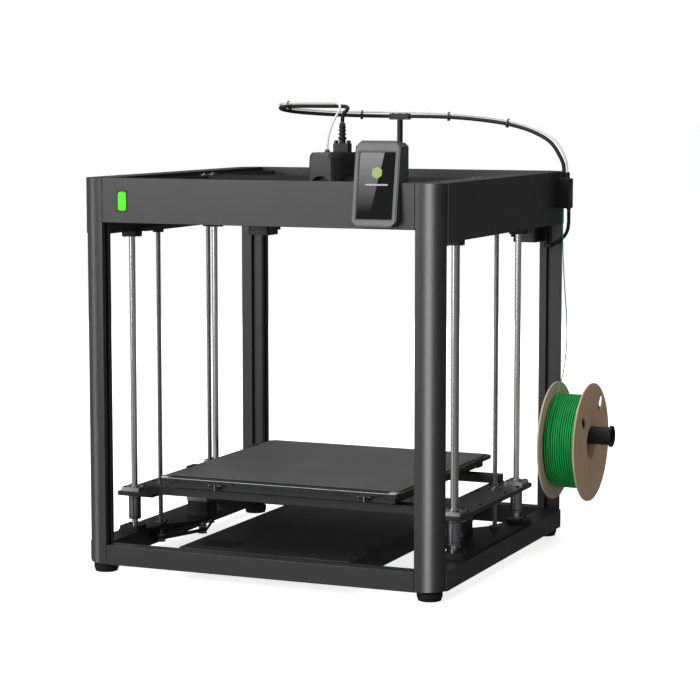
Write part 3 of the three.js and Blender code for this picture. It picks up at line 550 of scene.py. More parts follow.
FILAMENT_TUBE = [
    (-0.0084, -0.008, 0.6613), (-0.0084, -0.0076, 0.672), (-0.008, -0.004, 0.686), (-0.0066, 0.003, 0.701),
    (-0.0042, 0.013, 0.715), (-0.0025, 0.025, 0.727), (-0.0045, 0.036, 0.7355), (-0.018, 0.0485, 0.7404),
    (-0.056, 0.069, 0.741), (-0.101, 0.089, 0.741), (-0.1365, 0.107, 0.740),
    (-0.1565, 0.1295, 0.7375), (-0.1615, 0.156, 0.734), (-0.152, 0.1845, 0.7305),
    (-0.128, 0.2135, 0.7275), (-0.095, 0.2445, 0.7252), (-0.060, 0.2715, 0.7241),
    (-0.027, 0.2893, 0.7238), (0.0, 0.2905, 0.7237), (0.027, 0.2905, 0.7235), (0.062, 0.2895, 0.7226),
    (0.111, 0.2835, 0.7204), (0.162, 0.2765, 0.7164), (0.213, 0.2695, 0.709), (0.260, 0.2625, 0.696),
    (0.294, 0.2575, 0.678), (0.311, 0.2545, 0.655), (0.317, 0.253, 0.638), (0.31815, 0.253, 0.6234),
]
FILAMENT = [
    (0.3126, 0.248, 0.5637), (0.3127, 0.2476, 0.545), (0.3134, 0.2464, 0.515), (0.3158, 0.243, 0.478),
    (0.3206, 0.2366, 0.435), (0.327, 0.228, 0.390), (0.3325, 0.215, 0.345), (0.3345, 0.198, 0.305),
    (0.334, 0.176, 0.272), (0.333, 0.1535, 0.244), (0.332, 0.134, 0.216), (0.331, 0.1252, 0.192),
    (0.331, 0.1234, 0.176),
]
SENSOR_CABLE = [
    (0.31915, 0.260, 0.5597), (0.3193, 0.260, 0.550), (0.319, 0.2605, 0.538), (0.3165, 0.262, 0.526),
    (0.311, 0.265, 0.517), (0.303, 0.269, 0.510), (0.294, 0.272, 0.505), (0.286, 0.2744, 0.5015),
    (0.279, 0.2752, 0.499),
]
CABLE_D = 0.0065
TUBE_D = 0.004
PLUG_AT = (0.0005, 0.034)  # in x and y: where the two moving cords leave the print head
LOOP_TURN = (-0.161, 0.156)  # where their loop on top turns back: it goes with the gantry
CLIP_AT = (0.0, 0.290)  # where the rear post's clip holds them: it stays with the frame
STRETCHES = {"front": ("gantry", "head", LOOP_TURN, PLUG_AT), "rear": ("frame", "gantry", CLIP_AT, LOOP_TURN)}


def row_point(p):
    return ORIGIN + Vector(p)


def bend(made):
    """Bakes the piece's placement into its mesh; the piece stays on no body."""
    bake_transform(made)


def cord(node, part, route, diameter):
    moving = part in STRETCHES
    made = remake(node, part, tube(route, diameter / 2), body="" if moving else None, to_row=IN_ROW)
    if moving:
        bend(made)


def travelling_cord(node, points, diameter, samples):
    """A cord from the print head to the frame in two pieces that meet where the loop turns back: the front
    one runs between head and gantry, the rear one between gantry and frame, and both are left on no body."""
    route = smooth_route([row_point(p) for p in points], samples)
    turn = min(range(samples), key=lambda i: route[i].x)
    for stretch, path in (("front", route[:turn + 1]), ("rear", route[turn:][::-1])):
        cord(node, stretch, path, diameter)


def hanging_cord(node, points, diameter, samples):
    cord(node, "line", smooth_route([row_point(p) for p in points], samples), diameter)


travelling_cord("head_cable", HEAD_CABLE, CABLE_D, 150)
travelling_cord("filament_tube", FILAMENT_TUBE, TUBE_D, 170)
hanging_cord("filament_strand", FILAMENT, 0.00175, 90)
hanging_cord("sensor_cable", SENSOR_CABLE, 0.006, 40)


# --- frame ------------------------------------------------------------------------------------

FRAME_HALF = 305.0
FRAME_TOP = 625.0
COLUMN_W, COLUMN_D, COLUMN_R = 43.0, 27.0, 40.0
SIDE_END = FRAME_HALF - COLUMN_D - GAP
BED_Y = -30.0  # middle of the rods and screws
ROD_X, ROD_DY = 278.0, 149.0
SCREW_X, SCREW_DY = 261.0, 91.0
Z_MOTOR_X = 230.0
DECK_Z = 48.0
PANEL_BOTTOM = 537.0
XY_MOTOR_X, XY_MOTOR_Y = 249.0, 256.0


def column_outline():
    """Drawn for the front left one, as the CAD column is, with a finer corner arc."""
    hw, hd = COLUMN_W / 2, COLUMN_D / 2
    slot = [(0, -4), (-2, -4), (-2, -6.5), (-7, -6.5), (-7, 6.5), (-2, 6.5), (-2, 4), (0, 4)]
    first = math.asin((COLUMN_R - COLUMN_D) / COLUMN_R)
    points = []
    for i in range(25):
        angle = math.pi + first + (math.pi / 2 - first) * i / 24
        points.append((-hw + COLUMN_R * (1 + math.cos(angle)), -hd + COLUMN_R * (1 + math.sin(angle))))
    points.append((hw, -hd))
    points += [(hw + d, a) for d, a in slot]
    points.append((hw, hd))
    points += [(4.5 - a, hd + d) for d, a in slot]
    return points


def columns():
    for corner, (sx, sy) in CORNERS.items():
        outline = [(sx * (FRAME_HALF - COLUMN_W / 2 - a), sy * (FRAME_HALF - COLUMN_D / 2 - b))
                   for a, b in column_outline()]
        remake(f"column_{corner}", "post", prism(outline, "Z", (FRAME_BOTTOM, FRAME_TOP)), bevel=0.9,
               segments=3, bevel_angle=28)


def feet():
    profile = [(0.01, 0), (16.4, 0), (17.6, 0.5), (18.1, 1.4), (18.8, 5), (19.8, 6.2), (19.8, 12.0),
               (19.3, 12.7), (0.01, 12.7)]
    for corner, (sx, sy) in CORNERS.items():
        remake(f"foot_{corner}", "pad", lathe(profile, (sx * 277, sy * 277, -2.6), sides=56))


def frame_members():
    for node in ("top_beam_front", "top_beam_rear", "bottom_beam_front"):
        refine(node, 0.7)
    # painted shade: the rear bottom beam takes the darker coat
    refine("bottom_beam_rear", 0.5, 2, "painted_shade_coat")
    for side, s in SIDES.items():
        panel = refine(f"top_panel_{side}", 0.8)
        # painted shade on the top panel's inside faces: all but its outer side and its top
        paint(panel, "painted_shade_coat", lambda p: abs(p.x) < FRAME_HALF - 1.5 and p.z < FRAME_TOP - 1.5)
        rail = refine(f"base_rail_{side}", 0.6)
        # painted shade on the base rail's part more than 34 mm in from the side, and on its faces above 40 mm
        paint(rail, "painted_shade_coat", lambda p: abs(p.x) < FRAME_HALF - 34 or p.z > 40)
        refine(f"y_rail_{side}", 0.6)
        # rods' clamps at the top, and the decks below, are held by small screws
        clamp_y = [y for d in ENDS for y in pair(BED_Y + d * ROD_DY, 8.6)]
        clamps = product(pair(s * ROD_X, 8.6), clamp_y, [PANEL_BOTTOM - 10])
        screw_row(f"clamp_screws_{side}", clamps, "Z", -1, r=1.7, high=1.2)
        bosses = [(s * (ROD_X + 13), BED_Y + d * (ROD_DY + e), DECK_Z + 6) for d in ENDS for e in (-9, 9)]
        screw_row(f"boss_screws_{side}", bosses, "Z", 1, "black_screw")
        deck = [(s * x, BED_Y + d * y, DECK_Z) for d in ENDS
                for x, y in ((ROD_X, 120), (262, 70), (250, 118), (214, 38))]
        screw_row(f"deck_screws_{side}", deck, "Z", 1, "black_screw")
        rail = product([s * 252.2], range(-240, 260, 40), [592])
        screw_row(f"rail_screws_{side}", rail, "X", -s, "black_screw", r=2.4, high=0.5)
        ends = product([s * (FRAME_HALF - 22)], pair(0, SIDE_END - 15), [FRAME_TOP])
        screw_row(f"panel_screws_{side}", ends, "Z", 1, "black_screw", r=3.0, high=0.8)


def status_light():
    low, high = node_box("status_light")
    middle = (low + high) / 2
    outline = round_outline(high.z - low.z, high.x - low.x, 4.0, middle.z, middle.x)
    remake("status_light", "lens", prism(outline, "Y", (low.y, high.y)), bevel=0.6, segments=3)
    rim, slack = 2.2, 0.2
    y = (-FRAME_HALF - 0.5, -FRAME_HALF + 0.2)
    z = (low.z - rim, high.z + rim)
    x = (low.x - slack, high.x + slack)
    bands = box((low.x - rim, x[0]), y, z) + box((x[1], high.x + rim), y, z)
    bands += box(x, y, (z[0], low.z - slack)) + box(x, y, (high.z + slack, z[1]))
    piece("status_light_surround", "plastic_black", bands)


columns()
feet()
frame_members()
status_light()


# --- base box ---------------------------------------------------------------------------------

COVER_TOP = 45.0
COVER_HALF = 148.0


def base_box():
    refine("base_tray", 0.6)
    refine("base_cover", 0.6)
    refine("power_supply", 0.8)
    refine("mainboard", 0.3, 1)
    edge = [*product(pair(0, COVER_HALF - 7), range(-260, 261, 65), [COVER_TOP]),
            *product(range(-90, 91, 60), (-268, 268), [COVER_TOP])]
    screw_row("cover_screws", edge, "Z", 1, "black_screw", r=2.4, high=0.9)
    # a louvred vent: bars along Y standing on a thin sheet
    x0, x1, y, bar = -126, -66, (-255, -205), 1.8
    vent = box((x0, x1), y, (COVER_TOP, COVER_TOP + 0.3))
    for i in range(16):
        left = x0 + 4 * i - bar / 2
        vent += box((max(x0, left), min(x1, left + bar)), y, (COVER_TOP + 0.3, COVER_TOP + 0.9))
    piece("vent_grid", "carriage_black", vent)
    terminals = [box((x, x + 8), (54, 60.2), (20, 30))[0] for x in range(-122, -49, 12)]
    piece("supply_terminals", "plastic_black", terminals, bevel=0.5)
    sockets = [box((x, x + 6), (y, y + 8), (20.5, 27))[0] for x in range(56, 118, 9) for y in (110, 205)]
    # the sockets take the hose's white material, and with it its faint painted glow
    piece("board_sockets", "tube_white", sockets, bevel=0.3)


base_box()


# --- lift: rods, screws, motors, pulleys and belts --------------------------------------------

SCREW_R = 4.0
THREAD_PITCH = 2.0
THREAD_DEPTH = 0.75
Z_PULLEY = (17.0, 31.0, 8.0, 6.4)  # foot, top, flanges' radius and drum's radius


def thread(centre, span):
    """A true helix of trapezoid thread: each ring climbs one pitch as it goes round."""
    sides = 16
    low, high = span
    root = SCREW_R - THREAD_DEPTH
    flanks = ((root, 0.0), (SCREW_R, 0.25), (SCREW_R, 0.5), (root, 0.75))
    bm = bmesh.new()
    rings = []
    for i, (r, part) in product(range(-1, int((high - low) / THREAD_PITCH) + 2), flanks):
        ring = []
        for k in range(sides + 1):
            z = low + (i + part + k / sides) * THREAD_PITCH
            here = r if low < z < high else root
            angle = 2 * math.pi * k / sides
            ring.append(bm.verts.new((centre[0] + here * math.cos(angle),
                                      centre[1] + here * math.sin(angle), min(max(z, low), high))))
        rings.append(ring)
    for a, b in zip(rings, rings[1:]):
        for k in range(sides):
            bm.faces.new((a[k], a[k + 1], b[k + 1], b[k]))
    bmesh.ops.remove_doubles(bm, verts=bm.verts, dist=1e-4)
    bmesh.ops.dissolve_degenerate(bm, dist=1e-4, edges=bm.edges)
    bmesh.ops.holes_fill(bm, edges=bm.edges, sides=0)
    return bm


def toothed_pulley(x, y, foot, top, flange_r, groove_r, lip=1.3):
    """Two flanges with a toothed drum between them."""
    flanges = [rod((x, y, 0), flange_r, span, sides=40, chamfer=0.25)[0]
               for span in ((foot, foot + lip), (top - lip, top))]
    return flanges + prism(toothed(20, groove_r, x, y), "Z", (foot + lip, top - lip))


def lift():
    for corner, (sx, sy) in CORNERS.items():
        rod_at = (sx * ROD_X, BED_Y + sy * ROD_DY, 0)
        remake(f"guide_rod_{corner}", "bar", rod(rod_at, 5.0, (DECK_Z + GAP, PANEL_BOTTOM - GAP), sides=48))
        x, y = sx * SCREW_X, BED_Y + sy * SCREW_DY
        node = f"lead_screw_{corner}"
        finish_piece(f"{node}_thread", thread((x, y), (Z_PULLEY[1], PANEL_BOTTOM - GAP)), None, replaces=node)
        piece(f"screw_pulley_{corner}", "pulley_aluminium", toothed_pulley(x, y, *Z_PULLEY),
              body=BODY_OF[node])
        bearing = washer(4.4, [(8.6, 0), (9.0, 0.5), (9.0, 2.2), (8.4, 2.8)], (x, y, DECK_Z), sides=36)
        piece(f"screw_bearing_{corner}", "zinc", bearing, slot="pulley_aluminium")


def belt_loop(wheels, z):
    """A closed belt round wheels (x, y, r), all on its inside, given anticlockwise."""
    thick = 1.3
    inner, outer = [], []
    for i, (x, y, r) in enumerate(wheels):
        px, py, _ = wheels[i - 1]
        nx, ny, _ = wheels[(i + 1) % len(wheels)]
        a0 = math.atan2(y - py, x - px) - math.pi / 2
        a1 = math.atan2(ny - y, nx - x) - math.pi / 2
        while a1 < a0:
            a1 += 2 * math.pi
        for k in range(13):
            a = a0 + (a1 - a0) * k / 12
            inner.append((x + r * math.cos(a), y + r * math.sin(a)))
            outer.append((x + (r + thick) * math.cos(a), y + (r + thick) * math.sin(a)))
    around = ((inner, z[0]), (outer, z[0]), (outer, z[1]), (inner, z[1]), (inner, z[0]))
    return [[[(a, b, h) for a, b in line] for line, h in around]]


def motor(node, x, y, foot, tall, size, upper=None):
    """A stepper motor: end bells, lower and upper, round a laminated middle, and its tie screws."""
    bell = 8.0
    outline = round_outline(size, size, 5.0, x, y)
    remake(node, "lower_bell", prism(outline, "Z", (foot, foot + bell)), bevel=0.7)
    top = foot + tall
    remake(node, "upper_bell", prism(outline, "Z", (top - bell, top)), upper, bevel=0.7)
    waist = round_outline(size - 0.8, size - 0.8, 6.5, x, y)
    layers = 10
    height = (tall - 2 * bell) / layers
    stack = []
    for i in range(layers):
        z = foot + bell + i * height
        stack += prism(waist, "Z", (z + 0.08, z + height - 0.08))
    core = round_outline(size - 1.6, size - 1.6, 6.1, x, y)
    stack += prism(core, "Z", (foot + bell - 0.2, top - bell + 0.2))
    piece(f"{node}_stack", "motor_black", stack, body=BODY_OF[node])
    corner = size / 2 - 5
    places = product(pair(x, corner), pair(y, corner), [top - 0.4])
    screw_row(f"{node}_screws", places, "Z", 1, r=2.4, high=0.4, body=BODY_OF[node])


def z_drives():
    for side, s in SIDES.items():
        x = s * Z_MOTOR_X
        motor(f"z_motor_{side}", x, BED_Y, DECK_Z + GAP, 34.0, 41.0, "pulley_aluminium")
        at = (x, BED_Y, 0)
        wheel = toothed_pulley(x, BED_Y, *Z_PULLEY) + rod(at, 5.5, (Z_PULLEY[1], 40.0), sides=32, chamfer=0.4)
        remake(f"z_motor_pulley_{side}", "wheel", wheel + rod(at, 2.5, (40.0, DECK_Z), sides=20, chamfer=0.1))
        wheels = [(x, BED_Y, 6.5)] + [(s * SCREW_X, BED_Y + s * d * SCREW_DY, 6.5) for d in (-1, 1)]
        piece(f"z_belt_{side}", "belt", belt_loop(wheels, (21.0, 27.0)))


lift()
z_drives()


# --- bed --------------------------------------------------------------------------------------

PLATE_TOP = 112.0  # of the carriage's side plates
FLANGE_TOP = 118.0
HEATER_FRONT = -229.0


def near(p, x, dy, reach):
    """True within reach of the upright axes at x and dy either side of the bed's middle."""
    return math.hypot(abs(p.x) - x, abs(p.y - BED_Y) - dy) < reach


def carriage():
    made = refine("bed_carriage", 0.5)
    paint(made, "bare_aluminium", lambda p: p.z > PLATE_TOP + 0.3 and near(p, ROD_X, ROD_DY, 24))
    paint(made, "bearing_steel", lambda p: p.z < 104.8 and near(p, ROD_X, ROD_DY, 10.6))
    paint(made, "screw_steel", lambda p: near(p, SCREW_X, SCREW_DY, 11.6) and not 104.9 < p.z < 112.1)
    for corner, (sx, sy) in CORNERS.items():
        x, y = sx * ROD_X, BED_Y + sy * ROD_DY
        places = product(pair(x, 11.5), pair(y, 11.5), [FLANGE_TOP])
        screw_row(f"flange_screws_{corner}", places, "Z", 1, "black_screw", "bed", r=2.3, high=1.6)
        rings = washer(5.4, [(9.3, -0.6), (9.6, 0)], (x, y, 65.0))
        for z in (68.0, 99.5):
            rings += lathe([(9.9, 0), (10.15, 0.2), (10.15, 0.9), (9.9, 1.1), (9.9, 0)], (x, y, z))
        piece(f"bearing_rings_{corner}", "black_screw", rings, body="bed", slot="rail_steel")
        collar = washer(5.3, [(8.4, 0), (8.8, 0.4), (8.8, 1.4), (8.2, 1.9)], (x, y, FLANGE_TOP))
        piece(f"bearing_collar_{corner}", "zinc", collar, body="bed", slot="rail_steel")
        nx, ny = sx * SCREW_X, BED_Y + sy * SCREW_DY
        nut = [(nx + 8 * math.cos(a), ny + 8 * math.sin(a), 115.0) for a in (0.8, 2.37, 3.94, 5.5)]
        screw_row(f"nut_screws_{corner}", nut, "Z", 1, "black_screw", "bed", r=1.6, high=1.2)
    plates = product((-290, -242, 242, 290), [BED_Y + y for y in (-120, -60, 60, 120)], [PLATE_TOP])
    screw_row("carriage_screws", plates, "Z", 1, "black_screw", "bed")
    beam = product((-241, -225, 225, 241), [-200.0], (115, 120))
    screw_row("crossbeam_screws", beam, "Y", -1, "black_screw", "bed", r=1.6, high=0.8)


def bed():
    heater = refine("heated_bed", 0.5)
    paint(heater, "carriage_black", lambda p: p.z < 138.8)
    paint(heater, "bare_aluminium", lambda p: p.z > 144.4 and p.y < -228.3 and abs(p.x) < 200)
    refine("build_plate", 0.35)
    # insulation in the tray's mouth, bare corner pads, levelling wheels, small screws and clips
    insulation = box((-193, 193), (-214, 180), (130.0, 136.0))
    piece("bed_insulation", "cable_black", insulation, body="bed", bevel=1.0)
    pads = [prism(round_outline(17, 13, 3.0, s * 197.5, -220.5), "Z", (145.4, 147.2))[0] for s in ENDS]
    piece("bed_corner_pads", "bare_aluminium", pads, body="bed", bevel=0.5)
    corners = [(s * 199, y, z) for s in ENDS for y, z in ((-221, 147.2), (190.5, 145.5))]
    screw_row("bed_corner_screws", corners, "Z", 1, "zinc", "bed", r=2.3, high=0.8)
    for index, x in enumerate((-110, 147)):
        wheel = prism(toothed(24, 8.6, x, -219.5), "Z", (131.5, 135.0))
        wheel += box(pair(x, 14), (-227.5, -217.0), (136.2, 139.2))
        piece(f"levelling_wheel_{index}", "plastic_black", wheel, body="bed", bevel=0.3)
        stud = rod((x + 2, -227.4, 0), 1.9, (129.5, 139.0), sides=20, chamfer=0.4)
        for rivet in (x - 8, x + 10):
            stud += rod((rivet, -227.6, 137.7), 1.2, (-0.6, 0.4), "Y", 16, 0.2)
        piece(f"levelling_stud_{index}", "zinc", stud, body="bed")
    places = [(x, HEATER_FRONT, 142.3) for x in (-196, -176, -75, 114, 178)]
    screw_row("heater_edge_screws", places, "Y", -1, "black_screw", "bed", r=2.0, high=0.9)
    for index, (s, y) in enumerate(((-1, -128), (-1, 110), (1, -60), (1, 120))):
        clip = box((s * 202, s * 208), (y, y + 26), (145.6, 147.8))
        clip += box((s * 208, s * 209.4), (y, y + 26), (133, 147.8))
        piece(f"bed_clip_{index}", "sheet_black", clip, body="bed", bevel=0.3)


carriage()
bed()


# --- gantry and drive on top ------------------------------------------------------------------

BEAM_FRONT = 8.0
HEAD_FRONT = -46.0
FAN_Z = 600.0


def idler(x, y, z):
    """A flanged idler wheel."""
    r, lip, high = 7.0, 8.6, 8.0
    rim = [(lip, 0), (lip, 0.8), (r, 1.1), (r, high - 1.1), (lip, high - 0.8), (lip, high)]
    return washer(2.2, rim, (x, y, z), sides=32)


def gantry():
    refine("gantry_beam", 0.6)
    rail = box((-222, 222), (BEAM_FRONT - 0.01, BEAM_FRONT + 1.0), (585, 597))
    piece("x_rail", "rail_steel", rail, body="gantry", bevel=0.4)
    holes = product(range(-210, 211, 30), [BEAM_FRONT], [591])
    screw_row("x_rail_screws", holes, "Y", -1, "black_screw", "gantry", r=2.2, high=0.35)
    for side, s in SIDES.items():
        x = s * 240
        wheels = []
        for y in (6, 38):
            wheels += idler(x, y, 613) + rod((x, y, 0), 2.6, (621, 623.2), sides=12, chamfer=0.4)
        piece(f"gantry_idlers_{side}", "pulley_aluminium", wheels, body="gantry")
        ends = product([s * 230], (1, 15, 29, 43), [612])
        screw_row(f"gantry_end_screws_{side}", ends, "Z", 1, "zinc", "gantry")
        faces = product((s * 231, s * 247), [-4.0], (578, 606))
        screw_row(f"gantry_face_screws_{side}", faces, "Y", -1, "zinc", "gantry", r=2.0, high=1.2)
    belts = [box((-233, 233), (y, y + 1.2), (614, 620))[0] for y in (-1.8, 45.2)]
    piece("x_belts", "belt", belts, body="gantry")


def upper_drive():
    foot = PANEL_BOTTOM - GAP
    bracket_top = PANEL_BOTTOM - 0.2
    for side, s in SIDES.items():
        x, y = s * XY_MOTOR_X, XY_MOTOR_Y
        motor(f"xy_motor_{side}", x, y, PANEL_BOTTOM - 31.3, 31.0, 42.0)
        wheel = rod((x, y, foot), 2.5, (0.3, 9.2), sides=20, chamfer=0.2)
        wheel += toothed_pulley(x, y, foot + 9, foot + 28.2, 8.0, 6.5, 1.2)
        remake(f"xy_motor_pulley_{side}", "wheel", wheel)
        wall = (s * (XY_MOTOR_X - 24.5), s * (XY_MOTOR_X - 21.6))
        bracket = box(wall, (y - 20, y + 21.3), (514, bracket_top))
        bracket += box((s * 227.4, s * 260), (y - 24.0, y - 21.6), (522, bracket_top))
        piece(f"motor_bracket_{side}", "sheet_black", bracket, bevel=0.6)
        x = s * 238.5
        wheels = idler(x, -262.0, 612.5) + idler(x, -246.0, 602.5)
        wheels += rod((x, -262, 0), 2.2, (596, 623), sides=12, chamfer=0.3)
        wheels += rod((x, -246, 0), 2.2, (596, 613), sides=12, chamfer=0.3)
        piece(f"front_idlers_{side}", "pulley_aluminium", wheels)
        block = box((s * 228, s * 256), (-276, -236), (590, 596))
        piece(f"idler_block_{side}", "sheet_black", block, bevel=0.8)
        belts = [box(pair(edge, 0.6), (-262, 268), (613.5, 619.5))[0] for edge in pair(x, 7.6)]
        piece(f"y_belts_{side}", "belt", belts)


gantry()
upper_drive()


# --- print head -------------------------------------------------------------------------------


def raised(x, reach, spans, thick):
    """Thin bars on both of the faces that lie reach to the left and right of x."""
    bars = []
    for s in ENDS:
        for y, z in spans:
            bars += box((x + s * reach, x + s * (reach + thick)), y, z)
    return bars


def head():
    refine("head_carriage", 0.9, 3)
    low, high = node_box("head_carriage")
    mid = (low.x + high.x) / 2
    spans = [((34, 38.5), (614, 652)), ((10, 30), (626, 627.4)), ((10, 30), (640, 641.4))]
    piece("carriage_ribs", "plastic_black", raised(mid, high.x - mid, spans, 0.5), body="head", bevel=0.2)
    for side, s, x in (("right", 1, high.x), ("left", -1, low.x)):
        bolts = product([x], (-8, 48), (612, 654))
        screw_row(f"carriage_bolts_{side}", bolts, "X", s, "zinc", "head", r=2.0, high=0.9)

    head_cover(mid)
    guard = []
    for r in (8.0, 13.0):
        guard += washer(r, [(r + 0.9, 0), (r + 0.9, 0.9)], (mid, HEAD_FRONT + 0.7, FAN_Z), "Y", 48)
    start = Vector((mid, HEAD_FRONT + 1.2, FAN_Z))
    for x, z in circle(4, first=math.pi / 4):
        away = Vector((x, 0, z))
        guard += tube([start + away * 3.0, start + away * 19.2], 0.45, 8)
    guard += rod((mid, HEAD_FRONT, FAN_Z), 3.6, (0.6, 1.8), "Y", 24, 0.2)
    piece("fan_guard", "zinc", guard, body="head")
    fan_rotor(mid)
    paint(refine("hotend", 0.3), "brass", lambda p: p.z < 556.2)
    lead = [Vector((mid + x, y, z)) for x, y, z in
            ((13, -23, 562), (17, -23, 563), (18, -21, 569), (18, -19, 575))]
    heater = box((mid + 8, mid + 13), (-26, -20), (560, 564)) + tube(lead, 1.1, 10)
    piece("heater_lead", "silicone", heater, body="head")

    refine("head_connector", 0.35)
    grips = raised(0.5, 13, [((28, 40), (z, z + 1.2)) for z in (663, 666, 669)], 0.6)
    piece("connector_grips", "plastic_black", grips, body="head", bevel=0.15)
    fitting = washer(2.1, [(4.6, 0), (4.6, 2.2), (3.4, 2.8), (3.4, 4.6)], (-8.4, -8, 661.0), sides=28)
    piece("tube_fitting", "plastic_grey", fitting, body="head")


def head_cover(mid):
    """A shell with wide slanted corners and a taper towards its top, its fan mouth open in front."""
    sides, depth, mouth = 48, 31.7, 19
    z0, waist, z1 = 574.0, 606.0, 661.0
    low, top, cut = 22.9, 20.7, 4.0

    def rim(y, inset):
        """The outline of a section at depth y: four straight sides with cut corners."""
        a, b, roof = low - inset, top - inset, z1 - inset
        half = [(a - cut, z0), (a, z0 + cut), (a, waist), (b, roof - cut * 1.6), (b - cut, roof)]
        return [(mid + x, y, z) for x, z in half[1:] + [(-x, z) for x, z in half[::-1]] + half[:1]]

    def arch(y):
        """The mouth's outline, its upper half raised."""
        points = circle(sides, mouth, mid, FAN_Z, math.pi / sides)
        return [(x, y, z + (4 if i < sides // 2 else 0)) for i, (x, z) in enumerate(points)]

    bm = bmesh.new()
    outer = [[bm.verts.new(p) for p in rim(HEAD_FRONT + y, inset)]
             for y, inset in ((0, 3.4), (3.6, 0), (depth, 0))]
    hole = [[bm.verts.new(p) for p in arch(HEAD_FRONT + y)] for y in (0, 16.0)]
    join_rings(bm, outer)
    bm.faces.new(outer[-1])
    join_rings(bm, hole)
    bm.faces.new(hole[1][::-1])
    edges = [bm.edges.get((ring[i - 1], v)) for ring in (outer[0], hole[0]) for i, v in enumerate(ring)]
    bmesh.ops.triangle_fill(bm, use_beauty=True, use_dissolve=False, edges=edges)
    finish_piece("head_cover_shell", bm, "shell_grey", replaces="head_cover", bevel=0.7, segments=3,
                 bevel_angle=20)
    seam = box(pair(mid, 18), (HEAD_FRONT - 0.25, HEAD_FRONT + 0.3), (626, 627))
    for x in pair(mid, 15):
        seam += box(pair(x, 4.5), (HEAD_FRONT - 0.1, HEAD_FRONT + 0.4), (627.5, 628.3))
    piece("cover_seam", "plastic_black", seam, body="head")


def fan_rotor(mid):
    """Seven twisted blades on a domed hub, in the space of the CAD rotor."""
    hub = [(0.01, 3.2), (5.5, 3.2), (7.2, 4.2), (7.5, 5.5), (7.5, 13.0), (0.01, 13.0)]
    shapes = lathe(hub, (mid, HEAD_FRONT, FAN_Z), "Y", 32)
    for i in range(7):
        blade = []
        for j in range(6):
            r = 7.0 + 10.3 * j / 5
            lean = 0.32 + 0.10 * j / 5
            sweep = 2 * math.pi * i / 7 + 0.03 * j
            section = []
            for along, thick in ((0, -0.4), (1, -0.4), (1, 0.4), (0, 0.4)):
                twist = sweep + lean * (along - 0.5) + thick / r
                section.append((mid + r * math.cos(twist), HEAD_FRONT + 4.4 + 7.4 * along,
                                FAN_Z + r * math.sin(twist)))
            blade.append(section)
        shapes.append(blade)
    remake("head_fan", "rotor", shapes)


head()


# --- display ----------------------------------------------------------------------------------

DISPLAY_X = 203.0
LEAN = math.radians(9.2)
FACE_Y, FACE_Z = -FRAME_HALF - 17.5, 560.0
GLASS_MIDDLE = 61.5  # up along the leaning face


def face_ring(outline, depth):
    """Points (across from the middle, up along the leaning face), at a depth behind the face."""
    c, s = math.cos(LEAN), math.sin(LEAN)
    return [(DISPLAY_X + a, FACE_Y + depth * c + h * s, FACE_Z + h * c - depth * s) for a, h in outline]


def face_prism(outline, depth):
    return [[face_ring(outline, d) for d in depth]]


def frame_ring(name, outer, inner, depth, material, bevel):
    """A rounded frame on the leaning face; outer and inner say what round_outline() takes."""
    front, back = depth
    around = ((outer, back), (outer, front), (inner, front), (inner, back), (outer, back))
    rings = [face_ring(round_outline(*size), d) for size, d in around]
    piece(name, material, [rings], bevel=bevel, bevel_angle=50)


def display():
    refine("display_housing", 1.3, 4)
    pane = round_outline(56, 99, 2.5, 0, GLASS_MIDDLE)
    remake("display_glass", "pane", face_prism(pane, (0.4, 2.0)), bevel=0.3)
    # a plain picture of a printed block over a bar stands on the glass
    piece("screen_icon", "icon", face_prism(circle(6, 9, 0.5, 81, math.pi / 6), (0.36, 0.41)))
    piece("screen_bar", "screen_ink", face_prism(round_outline(36, 2.4, 1.0, 1, 63), (0.36, 0.41)))
    # a lighter bezel stands just proud of the housing, and round the glass a thin lighter ring is a painted
    # highlight on the glass's edge
    frame_ring("display_bezel", (68.0, 122.5, 8.0, 0, 63.4), (60.5, 103.5, 3.0, 0, GLASS_MIDDLE), (-0.9, 0.2),
               "bezel_grey", 0.6)
    frame_ring("glass_edge", (60.2, 103.2, 2.9, 0, GLASS_MIDDLE), (59.2, 102.2, 2.4, 0, GLASS_MIDDLE),
               (-0.7, 0.2), "painted_edge_highlight", 0.15)
    back = node_box("display_housing")[1].y
    vents = [box((x, x + 4), (back - 0.2, back + 0.3), (640, 668))[0]
             for x in (DISPLAY_X - 24 + 9 * i for i in range(6))]
    piece("display_vents", "plastic_black", vents, bevel=0.15)


display()


# --- sensor, spool and rear post --------------------------------------------------------------


def runout_sensor():
    refine("runout_sensor", 0.9, 3)
    side = node_box("runout_sensor")[1].x
    rim = [(4.2, 0), (4.4, 0.3), (4.4, 1.0), (4.1, 1.3)]
    piece("fitting_collar", "collet", washer(2.2, rim, (318.15, 253, 623.1), sides=32))
    places = product([side], (244.5, 261.5), (568, 610))
    screw_row("sensor_screws", places, "X", 1, "black_screw", r=1.7, high=0.3)
    piece("sensor_panel", "plastic_grey", box((side, side + 0.4), (247, 259), (574, 604)), bevel=0.15)
    # where its cable is tied to the rear column
    piece("cable_anchor", "plastic_black", box((272, 285), (268.5, 277.8), (495.5, 502.5)), bevel=1.0)


SPOOL_Y, SPOOL_Z = 205.0, 176.0
SPOOL_X, SPOOL_W = 317.0, 64.0
SPOOL_R, SPOOL_BORE = 99.0, 27.0
SPOOL_HUB = 31.0
BOARD = 3.0  # a flange's thickness
WINDING_R = 79.0
TURN_R = 1.5  # of the filament as it is laid on the spool


def slot_outline(angle, reach, length, width):
    """A rounded slot in the flange's plane, reach from the spool's axis, its long way along the radius."""
    straight = (length - width) / 2
    points = []
    for c, s in circle(20):
        u = reach + width / 2 * c + (straight if c > 0 else -straight)
        v = width / 2 * s
        points.append((math.cos(angle) * u - math.sin(angle) * v, math.sin(angle) * u + math.cos(angle) * v))
    return points


